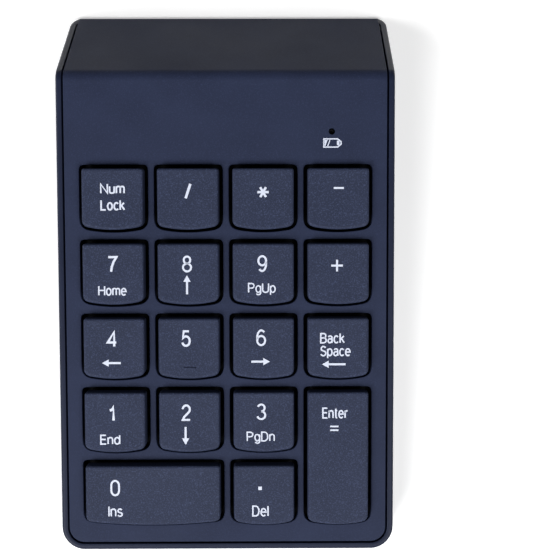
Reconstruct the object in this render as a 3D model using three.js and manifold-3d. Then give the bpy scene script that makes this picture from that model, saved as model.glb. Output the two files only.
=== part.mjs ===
// A wireless numeric keypad: a wedge-shaped case, a folded top cover with eighteen openings, and the
// keys, key mechanism, electronics, cells and radio receiver that it holds.
// Millimetres. X runs to the right, Y to the rear and Z up. The origin is on the table, at the
// centre of the keypad's outline.
import * as THREE from "three";
import { mergeVertices } from "three/addons/utils/BufferGeometryUtils.js";
import Module from "manifold-3d";

const wasm = await Module();
wasm.setup();

// ---------------------------------------------------------------- driving dimensions

const WIDTH = 81.5; // across the bottom case
const DEPTH = 134.9; // front wall to the foot of the rear face
const UNDERSIDE = 1; // the bottom case's underside above the table
const FLOOR_TOP = 2.6; // top of the bottom case's floor
const WALL = 1.5; // bottom case wall, which shows as a rim round the cover
const GROOVE = 0.4; // open line between the rim and the cover
const COVER = 2; // thickness of the top cover
const FRONT_CORNER = 5.6; // radius of the front corners in plan
const REAR_CORNER = 2.8; // radius of the rear corners in plan

const SLOPE = THREE.MathUtils.degToRad(7); // of the key deck
const ROW_1 = { y: 18.09, z: 21.93 }; // deck surface at the centres of the first row of keys
const FOLD_V = 30.04; // the fold, measured up the deck from the first row
const FOLD_RADIUS = 3.4;
const FOLD_STEPS = 4; // facets round the fold
const SMALLEST_FOLD = 0.5; // a line too deep for this radius bends sharply
const REAR_FOOT_Z = 1.2; // height at which the rear face ends
const COVER_LIP = { width: 1.1, height: 1.6 }; // hangs below the cover's edge, inside the walls

const PITCH = 18; // key to key
const CAP = { half: 7.4, rear: 7.37, front: -7.4, bow: 0.95, rearRadius: 0.8, frontRadius: 1.5 };
const OPENING = { half: 8.27, rear: 8.27, front: -8.05, bow: 1.05, rearRadius: 1.3, frontRadius: 2.2 };
const CAP_TOP = 2.69; // keycap's top face above the deck
const CAP_SKIRT = -1.2; // keycap's lower rim
const CAP_SHELL = 1; // wall of the keycap's skirt
const CAP_ROOF = 1.2; // thickness of the keycap's top
const CAP_BEVEL = 0.4;
const TRAVEL = 2.2; // how far a key goes down
const KEY_RIB = { at: 9, half: 1, aside: [-3.6, -2.8] }; // steers a levelling wire under a long key

// Levels of the key mechanism along the deck's normal, 0 at the deck's surface.
const FRAME_TOP = -3.8;
const FRAME_BOTTOM = -4.8;
const SLEEVE_TOP = -1.3;
const STEM_FOOT = -4.9;
const DOME_TOP = -5.1;
const SHEET_TOP = -6.95;
const SHEET_BOTTOM = -7.45;
const MEMBRANE_TOP = -7.55;
const MEMBRANE_BOTTOM = -7.95;
const PLATE_TOP = -8.05;
const PLATE_BOTTOM = -8.85;
const STACK = { half: 36.6, front: -79.2, rear: 9 }; // outline of the plates and sheets, on the deck
const STEM = 4.8; // side of a key's square stem
const SLEEVE_BORE = 5.2;
const SLEEVE_OUTER = 7;
const SPACER_RADIUS = 0.9;
const SPACER_ROWS = [0.49, 1.49, 2.49]; // where four keys meet, in rows of keys
const CLIP = { v: [-62, -12], half: 2.5, outside: 37.9, inside: 36.9, tip: 35.9, drop: 0.9 };
const LUG = { half: 1.3, thickness: 1, above: 1.1 };
const DOME = { foot: 4, top: 2, hollowFoot: 3.3, hollowTop: 1.6, roof: 0.7 };
const TAIL = { x: 29, half: 4, thickness: 0.3, end: 7.6, bendY: 30.2 }; // of the membrane

const WIRE_RADIUS = 0.5;
const WIRE_ARM = 8; // from a levelling wire's pivots to its long bar
const WIRE_REACH = 13; // pivots each side of the key's centre
const WIRE_BEND = 0.9;
const WIRE_PIVOT = { offset: 3.1, n: -3.1 };

const CELL = { radius: 5.25, length: 43.7, nub: 0.8, nubRadius: 1.9, z: 8.3, y: [35.85, 46.65] };
const SPRING = { length: 5.7, turns: 4, wire: 0.3, wide: 3.4, narrow: 2.3 };
const CONTACT = { thickness: 0.4, gap: 0.1, half: 4 };
const BAY = { x: [-31, 21], y: [30.3, 52.2], top: 13.9, wall: 1.2 };
const DOOR_GAP = 0.3;
const HOOK = { x: [-21, 11], half: 2, height: 1.3, reach: 1.5, foot: 1.6, slotTop: 5.4, gap: 0.6 };
const LATCH = { half: 3, height: 1.6, slotAt: 4, slotHalf: 0.5, slotLength: 5 };
const GRIP = { half: 2.4, rows: [1.4, 2.8], rowHalf: 0.3, depth: 0.35 }; // grooves across the latch
const DOOR_NOTCH = { half: 5, reach: 3.4, depth: 0.8 }; // for a finger, behind the door

const GARAGE = { x: [-20.2, -4.2], y: [5, 22.6], top: 8.9, wall: 1.2 };
const RECEIVER = { x: -12.2, y: 5.3, z: 4.9 }; // middle of the front of the receiver's cap
const USB = { width: 12, height: 4.5, length: 11.2, sheet: 0.3 };
const USB_WINDOW = { x: 3, half: 1.5, at: 6, reach: 1.2 };
const RECEIVER_CAP = { width: 15.1, height: 6.9, length: 5.6, radius: 1.2, socket: 2.4 };
const CAP_GROOVE = { count: 4, first: 1.35, pitch: 0.95, half: 0.25, depth: 0.3 };
const RECEIVER_NOTCH = { half: 4, reach: 4, top: 3.8, wall: 1.2, roof: 1.2 }; // for a finger, in front

const BOARD = { bottom: 5, top: 6.2, x: [24, 38.2], y: [3, 50], waist: { x: 33.4, y: 27 } };
const CHIP = { x: 30.6, y: 21.5, side: 6, height: 1 };
const CRYSTAL = { x: 29.6, y: 8.5, half: 2.4, halfDepth: 1.6, radius: 1, height: 1.2 };
const CONNECTOR = { half: 5, halfDepth: 1.4, height: 2.4, slotHalf: 0.35, slotFoot: 0.8 };
const SWITCH = { x: 29, y: 13, travel: 4 };
const SWITCH_BODY = { half: 3.4, halfDepth: 2, height: 1.3, groove: 0.8 };
const KNOB = { half: 1.8, halfDepth: 1.4, flange: 3.6, flangeDepth: 2.3, fork: 0.5 };
const LAMP = { u: 25.56, v: 16.12, z: 6.3, radius: 1.5, hole: 0.8 };
const PIPE = { foot: -13, radius: 0.9, collar: 1.6, tip: 0.7, top: -0.2, lampGap: 0.8 };

const SCREW = { head: 1.9, headHeight: 1.2, shank: 1, seat: 2.6, length: 6 };
const BOARD_SCREW = { head: 1.7, headHeight: 0.9, shank: 0.75, length: 3 };
const BOSS_RADIUS = 2.2;
const BOSS_FOOT = 4.3;
const TOWER_RADIUS = 2.9;
const POST_RADIUS = 1.9;
const FLOOR_RIBS = { y: [-56, -34, -12], half: 0.6, reach: 35 }; // they hold up the backing plate
const SCREW_PLACES = {
  front_left: [-36.2, -62.5],
  front_right: [36.2, -62.5],
  middle_left: [-36.2, 31],
  middle_right: [36.2, 31],
  rear_left: [-35.5, 57],
  rear_right: [35.5, 57],
};
const BOARD_SCREW_PLACES = { front: [35.6, 6.4], rear: [30.8, 46.8] };
const FOOT = { width: 12, depth: 6, radius: 1.6, height: 1.4, recess: 0.5 };
const FOOT_PLACES = {
  front_left: [-27, -60],
  front_right: [27, -60],
  rear_left: [-26, 59.5],
  rear_right: [26, 59.5],
};
const LABEL = { x: [-20, 20], y: [-42, -18], recess: 0.35, thickness: 0.2 };

// ---------------------------------------------------------------- materials

function material(color, roughness, metalness = 0) {
  return new THREE.MeshStandardMaterial({ color, roughness, metalness });
}

const MATERIALS = {
  cover: () => material(0x33384c, 0.62),
  case: () => material(0x262a38, 0.5),
  keycap: () => material(0x3b4157, 0.55),
  innerPlastic: () => material(0x1b1c20, 0.6),
  rubber: () => material(0x8f9296, 0.85),
  footRubber: () => material(0x17171a, 0.9),
  film: () => material(0xb9c4b4, 0.35),
  steel: () => material(0xa7aaad, 0.35, 1),
  spring: () => material(0xc2c4c6, 0.25, 1),
  board: () => material(0x1f5a38, 0.45),
  chip: () => material(0x141416, 0.5),
  lamp: () => material(0xb9e0b4, 0.2),
  clear: () => material(0xd9dde0, 0.1),
  cell: () => material(0x2d4f86, 0.35),
  label: () => material(0xa9abad, 0.5),
};

// ---------------------------------------------------------------- solids and places

// A closed three.js geometry as a manifold-3d solid.
function solid(geometry, matrix = new THREE.Matrix4()) {
  const bare = new THREE.BufferGeometry();
  bare.setAttribute("position", geometry.getAttribute("position").clone());
  if (geometry.index) bare.setIndex(geometry.index.clone());
  bare.applyMatrix4(matrix);
  const merged = mergeVertices(bare, 1e-4);
  const corners = merged.index.array;
  const triangles = [];
  for (let i = 0; i < corners.length; i += 3) {
    const [a, b, c] = [corners[i], corners[i + 1], corners[i + 2]];
    if (a !== b && b !== c && c !== a) triangles.push(a, b, c);
  }
  const mesh = new wasm.Mesh({
    numProp: 3,
    vertProperties: merged.attributes.position.array,
    triVerts: new Uint32Array(triangles),
  });
  return new wasm.Manifold(mesh);
}

// A manifold-3d solid as a three.js geometry.
function geometryOf(made) {
  const mesh = made.getMesh();
  const geometry = new THREE.BufferGeometry();
  geometry.setAttribute("position", new THREE.BufferAttribute(mesh.vertProperties, 3));
  geometry.setIndex(new THREE.BufferAttribute(mesh.triVerts, 1));
  geometry.computeVertexNormals();
  return geometry;
}

const join = (first, ...others) => others.reduce((all, next) => all.add(next), first);
const cut = (first, ...others) => others.reduce((rest, next) => rest.subtract(next), first);

// A block between two values along each axis.
function block([x0, x1], [y0, y1], [z0, z1], matrix) {
  const geometry = new THREE.BoxGeometry(x1 - x0, y1 - y0, z1 - z0);
  geometry.translate((x0 + x1) / 2, (y0 + y1) / 2, (z0 + z1) / 2);
  return solid(geometry, matrix);
}

// A flat outline in X and Y, pulled up from z0 to z1.
function prism(shape, [z0, z1], matrix, curveSegments = 3) {
  const options = { depth: z1 - z0, bevelEnabled: false, curveSegments };
  return solid(new THREE.ExtrudeGeometry(shape, options).translate(0, 0, z0), matrix);
}

// A side profile in Y and Z, pulled along X from x0 to x1.
function profile(points, [x0, x1]) {
  const shape = new THREE.Shape(points.map(([y, z]) => new THREE.Vector2(y, z)));
  const turned = new THREE.Matrix4().makeBasis(
    new THREE.Vector3(0, 1, 0),
    new THREE.Vector3(0, 0, 1),
    new THREE.Vector3(1, 0, 0),
  );
  const geometry = new THREE.ExtrudeGeometry(shape, { depth: x1 - x0, bevelEnabled: false });
  return solid(geometry.translate(0, 0, x0), turned);
}

// An upright round rod at x, y.
function rod(radius, [z0, z1], [x, y] = [0, 0], matrix, sides = 14) {
  const geometry = new THREE.CylinderGeometry(radius, radius, z1 - z0, sides);
  geometry.rotateX(Math.PI / 2);
  geometry.translate(x, y, (z0 + z1) / 2);
  return solid(geometry, matrix);
}

// A turned shape about the Z axis, from points of radius and height.
function turning(points, sides = 14) {
  const outline = points.map(([r, z]) => new THREE.Vector2(r, z));
  return solid(new THREE.LatheGeometry(outline, sides).rotateX(Math.PI / 2));
}

// A rectangle with round corners.
function roundedRectangle([x0, x1], [y0, y1], radius) {
  const shape = new THREE.Shape();
  shape.moveTo(x0 + radius, y0);
  shape.lineTo(x1 - radius, y0);
  shape.absarc(x1 - radius, y0 + radius, radius, -Math.PI / 2, 0);
  shape.lineTo(x1, y1 - radius);
  shape.absarc(x1 - radius, y1 - radius, radius, 0, Math.PI / 2);
  shape.lineTo(x0 + radius, y1);
  shape.absarc(x0 + radius, y1 - radius, radius, Math.PI / 2, Math.PI);
  shape.lineTo(x0, y0 + radius);
  shape.absarc(x0 + radius, y0 + radius, radius, Math.PI, 1.5 * Math.PI);
  return shape;
}

// The deck's own frame: X across, Y up the slope, Z along the deck's outward normal.
const deckMatrix = new THREE.Matrix4().makeRotationX(SLOPE).setPosition(0, ROW_1.y, ROW_1.z);
const onDeck = (u, v, n = 0) => new THREE.Vector3(u, v, n).applyMatrix4(deckMatrix);

const keypad = new THREE.Group();
const deck = new THREE.Group();
deck.rotation.x = SLOPE;
deck.position.set(0, ROW_1.y, ROW_1.z);
keypad.add(deck);

function part(name, made, finish, parent = keypad, position = [0, 0, 0]) {
  const geometry = made.isBufferGeometry ? made : geometryOf(made);
  const mesh = new THREE.Mesh(geometry, MATERIALS[finish]());
  mesh.name = name;
  mesh.position.set(...position);
  parent.add(mesh);
  return mesh;
}

// ---------------------------------------------------------------- the case's outline

// The keypad's plan, drawn in by inset, with its rear edge moved back by rearExtra.
function plan(inset, rearExtra = 0) {
  const side = WIDTH / 2 - inset;
  const front = -DEPTH / 2 + inset;
  const rear = DEPTH / 2 + rearExtra;
  const frontRadius = FRONT_CORNER - inset;
  const rearRadius = Math.max(REAR_CORNER - inset, 0.4);
  const shape = new THREE.Shape();
  shape.moveTo(side, front + frontRadius);
  shape.lineTo(side, rear - rearRadius);
  shape.absarc(side - rearRadius, rear - rearRadius, rearRadius, 0, Math.PI / 2);
  shape.lineTo(-side + rearRadius, rear);
  shape.absarc(-side + rearRadius, rear - rearRadius, rearRadius, Math.PI / 2, Math.PI);
  shape.lineTo(-side, front + frontRadius);
  shape.absarc(-side + frontRadius, front + frontRadius, frontRadius, Math.PI, 1.5 * Math.PI);
  shape.lineTo(side - frontRadius, front);
  shape.absarc(side - frontRadius, front + frontRadius, frontRadius, -Math.PI / 2, 0);
  return shape;
}

const deckZ = (y) => ROW_1.z + (y - ROW_1.y) * Math.tan(SLOPE);
const fold = onDeck(0, FOLD_V);
const rearSlope = Math.atan2(fold.z - REAR_FOOT_Z, DEPTH / 2 - fold.y);
const turn = SLOPE + rearSlope;

// The upper line of the keypad seen from the side, at a depth below its surface: deck, fold, rear face.
// The fold is round where the depth leaves it a radius, and sharp below that.
function upperLine(depth, frontY, rearZ) {
  const line = [[frontY, deckZ(frontY) - depth / Math.cos(SLOPE)]];
  const radius = FOLD_RADIUS - depth;
  if (radius > SMALLEST_FOLD) {
    const centre = onDeck(0, FOLD_V - FOLD_RADIUS * Math.tan(turn / 2), -FOLD_RADIUS);
    for (let i = 0; i <= FOLD_STEPS; i++) {
      const angle = Math.PI / 2 + SLOPE - (turn * i) / FOLD_STEPS;
      line.push([centre.y + radius * Math.cos(angle), centre.z + radius * Math.sin(angle)]);
    }
  } else {
    const angle = Math.PI / 2 + SLOPE - turn / 2;
    const inward = depth / Math.cos(turn / 2);
    line.push([fold.y - inward * Math.cos(angle), fold.z - inward * Math.sin(angle)]);
  }
  const atFoot = DEPTH / 2 - depth / Math.sin(rearSlope) - (rearZ - REAR_FOOT_Z) / Math.tan(rearSlope);
  line.push([atFoot, rearZ]);
  return line;
}

// Everything more than a depth below the keypad's surface, down to a level.
function under(depth, level) {
  const far = DEPTH / 2 + 10;
  const line = upperLine(depth, -far, level);
  return profile([[-far, level], ...line], [-far, far]);
}

// ---------------------------------------------------------------- keys

// A key's outline: straight rear and sides, a front edge bowed outwards.
// wide and tall are the extra half widths of a key that spans two units.
function keyOutline(size, { wide = 0, tall = 0, inset = 0 } = {}) {
  const half = size.half + wide - inset;
  const rear = size.rear + tall - inset;
  const middle = size.front - tall + inset;
  const rearRadius = Math.max(size.rearRadius - inset, 0.25);
  const frontRadius = Math.max(size.frontRadius - inset, 0.4);
  const side = middle + size.bow;
  const end = half - frontRadius;
  const rise = size.bow * (end / half) ** 2;
  const shape = new THREE.Shape();
  shape.moveTo(half, side + frontRadius);
  shape.lineTo(half, rear - rearRadius);
  shape.quadraticCurveTo(half, rear, half - rearRadius, rear);
  shape.lineTo(-half + rearRadius, rear);
  shape.quadraticCurveTo(-half, rear, -half, rear - rearRadius);
  shape.lineTo(-half, side + frontRadius);
  shape.quadraticCurveTo(-half, side, -end, middle + rise);
  shape.quadraticCurveTo(0, middle - rise, end, middle + rise);
  shape.quadraticCurveTo(half, side, half, side + frontRadius);
  return shape;
}

const SINGLE = {};
const WIDE = { wide: PITCH / 2 };
const TALL = { tall: PITCH / 2 };

// Each key's column and row, counted from the rear left key, and its size.
const KEYS = [
  ["num_lock", 0, 0, SINGLE],
  ["divide", 1, 0, SINGLE],
  ["multiply", 2, 0, SINGLE],
  ["subtract", 3, 0, SINGLE],
  ["7", 0, 1, SINGLE],
  ["8", 1, 1, SINGLE],
  ["9", 2, 1, SINGLE],
  ["add", 3, 1, SINGLE],
  ["4", 0, 2, SINGLE],
  ["5", 1, 2, SINGLE],
  ["6", 2, 2, SINGLE],
  ["backspace", 3, 2, SINGLE],
  ["1", 0, 3, SINGLE],
  ["2", 1, 3, SINGLE],
  ["3", 2, 3, SINGLE],
  ["enter", 3, 3.5, TALL],
  ["0", 0.5, 4, WIDE],
  ["decimal", 2, 4, SINGLE],
].map(([name, column, row, size]) => ({
  name,
  size,
  u: (column - 1.5) * PITCH,
  v: -row * PITCH,
}));

// A keycap round its own centre: a bevelled shell, hollow below, with a square stem.
// The long keys carry two ribs that steer the levelling wire.
function keycap(size) {
  const bevelled = new THREE.ExtrudeGeometry(keyOutline(CAP, { ...size, inset: CAP_BEVEL }), {
    depth: CAP_TOP - CAP_SKIRT,
    bevelThickness: CAP_BEVEL,
    bevelSize: CAP_BEVEL,
    bevelSegments: 1,
    curveSegments: 3,
  });
  bevelled.translate(0, 0, CAP_SKIRT - CAP_BEVEL);
  const reach = PITCH * 2;
  const below = block([-reach, reach], [-reach, reach], [CAP_SKIRT - 2, CAP_SKIRT]);
  const roof = CAP_TOP - CAP_ROOF;
  const hollow = prism(keyOutline(CAP, { ...size, inset: CAP_SHELL }), [CAP_SKIRT - 1, roof]);
  const stem = block([-STEM / 2, STEM / 2], [-STEM / 2, STEM / 2], [STEM_FOOT, roof + 0.4]);
  const ribs = [];
  for (const end of size === SINGLE ? [] : [-KEY_RIB.at, KEY_RIB.at]) {
    const along = [end - KEY_RIB.half, end + KEY_RIB.half];
    const height = [CAP_SKIRT - 0.1, roof + 0.4];
    ribs.push(size === WIDE ? block(along, KEY_RIB.aside, height) : block(KEY_RIB.aside, along, height));
  }
  return geometryOf(join(cut(solid(bevelled), below, hollow), stem, ...ribs));
}

const capGeometry = new Map([SINGLE, WIDE, TALL].map((size) => [size, keycap(size)]));
for (const key of KEYS) {
  part("key_" + key.name, capGeometry.get(key.size), "keycap", deck, [key.u, key.v, 0]);
}
const wideKey = KEYS.find((key) => key.size === WIDE);
const tallKey = KEYS.find((key) => key.size === TALL);

// A levelling wire under a long key: its bar lies along X under the cap, its two arms run back to
// pivots in the key frame's lugs. The group's origin is the middle of the pivot line.
function levellingWire() {
  const drop = Math.asin(TRAVEL / WIRE_ARM);
  const bar = new THREE.Vector2(-WIRE_ARM * Math.cos(drop), WIRE_ARM * Math.sin(drop));
  const bend = WIRE_BEND;
  const back = new THREE.Vector2(bar.x + bend * Math.cos(drop), bar.y - bend * Math.sin(drop));
  const start = new THREE.Vector2(-bend * Math.cos(drop), bend * Math.sin(drop));
  const path = new THREE.CurvePath();
  const at = (x, point) => new THREE.Vector3(x, point.x, point.y);
  const zero = new THREE.Vector2(0, 0);
  const side = WIRE_REACH - 1.2;
  const stub = WIRE_REACH + 0.9;
  const points = [at(-stub, zero), at(-side - bend, zero), at(-side, start), at(-side, back)];
  path.add(new THREE.LineCurve3(points[0], points[1]));
  path.add(new THREE.QuadraticBezierCurve3(points[1], at(-side, zero), points[2]));
  path.add(new THREE.LineCurve3(points[2], points[3]));
  path.add(new THREE.QuadraticBezierCurve3(points[3], at(-side, bar), at(-side + bend, bar)));
  path.add(new THREE.LineCurve3(at(-side + bend, bar), at(side - bend, bar)));
  path.add(new THREE.QuadraticBezierCurve3(at(side - bend, bar), at(side, bar), at(side, back)));
  path.add(new THREE.LineCurve3(at(side, back), at(side, start)));
  path.add(new THREE.QuadraticBezierCurve3(at(side, start), at(side, zero), at(side + bend, zero)));
  path.add(new THREE.LineCurve3(at(side + bend, zero), at(stub, zero)));
  const section = new THREE.Shape().absarc(0, 0, WIRE_RADIUS, 0, 2 * Math.PI);
  const geometry = new THREE.ExtrudeGeometry(section, {
    steps: 26,
    extrudePath: path,
    curveSegments: 3,
  });
  return geometryOf(solid(geometry));
}

const wideWire = part("levelling_wire_0", levellingWire(), "spring", deck);
wideWire.position.set(wideKey.u, wideKey.v + WIRE_PIVOT.offset, WIRE_PIVOT.n);
const tallWire = part("levelling_wire_enter", levellingWire(), "spring", deck);
tallWire.position.set(tallKey.u + WIRE_PIVOT.offset, tallKey.v, WIRE_PIVOT.n);
tallWire.rotation.z = -Math.PI / 2;

// ---------------------------------------------------------------- key frame and sheets

const stackOutline = () =>
  roundedRectangle([-STACK.half, STACK.half], [STACK.front, STACK.rear], 1.5);

// The lugs of a levelling wire: two small plates with a bore for the wire's bent ends.
function lugs(key) {
  const bore = WIRE_RADIUS + 0.15;
  return [-WIRE_REACH, WIRE_REACH].map((end) => {
    const across = [end - LUG.thickness / 2, end + LUG.thickness / 2];
    const plate = block(across, [-LUG.half, LUG.half], [FRAME_TOP - 0.2, WIRE_PIVOT.n + LUG.above]);
    const hole = new THREE.CylinderGeometry(bore, bore, 3, 10).rotateZ(Math.PI / 2);
    hole.translate(end, 0, WIRE_PIVOT.n);
    const turn = new THREE.Matrix4().makeRotationZ(key.size === TALL ? -Math.PI / 2 : 0);
    const place = key.size === TALL ? [WIRE_PIVOT.offset, 0, 0] : [0, WIRE_PIVOT.offset, 0];
    const shift = new THREE.Matrix4().makeTranslation(key.u + place[0], key.v + place[1], 0);
    const matrix = shift.multiply(turn);
    return cut(transformed(plate, matrix), solid(hole, matrix));
  });
}

function transformed(made, matrix) {
  return solid(geometryOf(made), matrix);
}

function keyFrame() {
  const half = SLEEVE_OUTER / 2;
  const bore = SLEEVE_BORE / 2;
  const sleeves = KEYS.map(({ u, v }) =>
    block([u - half, u + half], [v - half, v + half], [FRAME_BOTTOM, SLEEVE_TOP]),
  );
  const bores = KEYS.map(({ u, v }) =>
    block([u - bore, u + bore], [v - bore, v + bore], [FRAME_BOTTOM - 1, SLEEVE_TOP + 1]),
  );
  // Spacers reach up to the cover where four keys meet.
  const spacers = [];
  for (const u of [-PITCH, 0, PITCH]) {
    for (const v of SPACER_ROWS.map((row) => -row * PITCH)) {
      spacers.push(rod(SPACER_RADIUS, [FRAME_TOP - 0.2, -COVER - 0.1], [u, v], undefined, 8));
    }
  }
  // Clips reach round the edges of the sheets and hold the backing plate.
  const clips = [];
  for (const side of [-1, 1]) {
    for (const v of CLIP.v) {
      const along = [v - CLIP.half, v + CLIP.half];
      const span = (a) => (side > 0 ? [a, CLIP.outside] : [-CLIP.outside, -a]);
      const foot = PLATE_BOTTOM - CLIP.drop;
      clips.push(block(span(STACK.half - 1), along, [FRAME_BOTTOM, FRAME_TOP]));
      clips.push(block(span(CLIP.inside), along, [foot, FRAME_TOP]));
      clips.push(block(span(CLIP.tip), along, [foot, PLATE_BOTTOM - 0.2]));
    }
  }
  const plate = prism(stackOutline(), [FRAME_BOTTOM, FRAME_TOP]);
  const whole = join(plate, ...sleeves, ...spacers, ...clips, ...lugs(wideKey), ...lugs(tallKey));
  return cut(whole, ...bores);
}

part("key_frame", keyFrame(), "innerPlastic", deck);

// The rubber sheet: a hollow dome under each key's stem.
function domeSheet() {
  const dome = [
    [0, SHEET_TOP - 0.2],
    [DOME.foot, SHEET_TOP - 0.2],
    [DOME.foot, SHEET_TOP],
    [DOME.top, DOME_TOP],
    [0, DOME_TOP],
  ];
  const hollow = [
    [0, SHEET_BOTTOM - 0.5],
    [DOME.hollowFoot + 0.1, SHEET_BOTTOM - 0.5],
    [DOME.hollowFoot, SHEET_TOP],
    [DOME.hollowTop, DOME_TOP - DOME.roof],
    [0, DOME_TOP - DOME.roof],
  ];
  const place = (points, { u, v }) =>
    transformed(turning(points, 8), new THREE.Matrix4().makeTranslation(u, v, 0));
  const sheet = prism(stackOutline(), [SHEET_BOTTOM, SHEET_TOP]);
  const domes = KEYS.map((key) => place(dome, key));
  const hollows = KEYS.map((key) => place(hollow, key));
  return cut(join(sheet, ...domes), ...hollows);
}

part("dome_sheet", domeSheet(), "rubber", deck);

// The contact membrane, whose tail bends down from its rear edge to the board's connector.
function membrane() {
  const sheet = prism(stackOutline(), [MEMBRANE_BOTTOM, MEMBRANE_TOP], deckMatrix);
  const leaves = onDeck(0, STACK.rear - 1, (MEMBRANE_TOP + MEMBRANE_BOTTOM) / 2);
  const rim = onDeck(0, STACK.rear, (MEMBRANE_TOP + MEMBRANE_BOTTOM) / 2);
  const half = TAIL.thickness / 2;
  const tail = profile(
    [
      [leaves.y, leaves.z - half],
      [rim.y + 0.6, rim.z - half],
      [TAIL.bendY - half, rim.z - 1.4],
      [TAIL.bendY - half, TAIL.end],
      [TAIL.bendY + half, TAIL.end],
      [TAIL.bendY + half, rim.z - 1.2],
      [rim.y + 0.8, rim.z + half + 0.1],
      [leaves.y, leaves.z + half],
    ],
    [TAIL.x - TAIL.half, TAIL.x + TAIL.half],
  );
  return join(sheet, tail);
}

part("membrane", membrane(), "film");
part("backing_plate", prism(stackOutline(), [PLATE_BOTTOM, PLATE_TOP]), "steel", deck);

// ---------------------------------------------------------------- top cover

function topCover() {
  const frontY = -DEPTH / 2;
  const outer = upperLine(0, frontY, REAR_FOOT_Z);
  const inner = upperLine(COVER, frontY, REAR_FOOT_Z);
  const bent = profile([...outer, ...inner.reverse()], [-WIDTH / 2, WIDTH / 2]);
  const inset = WALL + GROOVE;
  const height = [-5, 40];
  const sheet = bent.intersect(prism(plan(inset), height));
  // A lip hangs below the cover's edge, just inside the case's walls.
  const ring = cut(prism(plan(inset), height), prism(plan(inset + COVER_LIP.width, -12), height));
  const band = cut(under(COVER - 0.2, 0), under(COVER + 0.2 + COVER_LIP.height, -1));
  const frontHalf = block([-WIDTH, WIDTH], [-DEPTH, fold.y - 6], height);
  const lip = ring.intersect(band).intersect(frontHalf);
  const body = join(sheet, lip, ...Object.values(SCREW_PLACES).map(boss));
  const openings = KEYS.map(({ u, v, size }) => {
    const place = deckMatrix.clone().multiply(new THREE.Matrix4().makeTranslation(u, v, 0));
    return prism(keyOutline(OPENING, size), [-COVER - 2.2, 1], place);
  });
  const lampHole = rod(LAMP.hole, [-COVER - 1, 1], [LAMP.u, LAMP.v], deckMatrix, 12);
  return cut(body, ...openings, lampHole);
}

// A boss that hangs from the cover for a case screw, with its pilot hole.
function boss([x, y]) {
  const post = rod(BOSS_RADIUS, [BOSS_FOOT, 30], [x, y]).intersect(under(COVER / 2, 0));
  return cut(post, rod(SCREW.shank + 0.1, [0, SCREW.seat + SCREW.length + 0.8], [x, y], undefined, 12));
}

part("top_cover", topCover(), "cover");

// ---------------------------------------------------------------- bottom case

// A pocket moulded up from the floor, open below: its walls and roof, and the space in it.
function pocket({ x, y, top, wall }) {
  const grow = ([a, b]) => [a - wall, b + wall];
  return {
    body: block(grow(x), grow(y), [UNDERSIDE, top + wall]),
    space: block(x, y, [-1, top]),
  };
}

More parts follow.
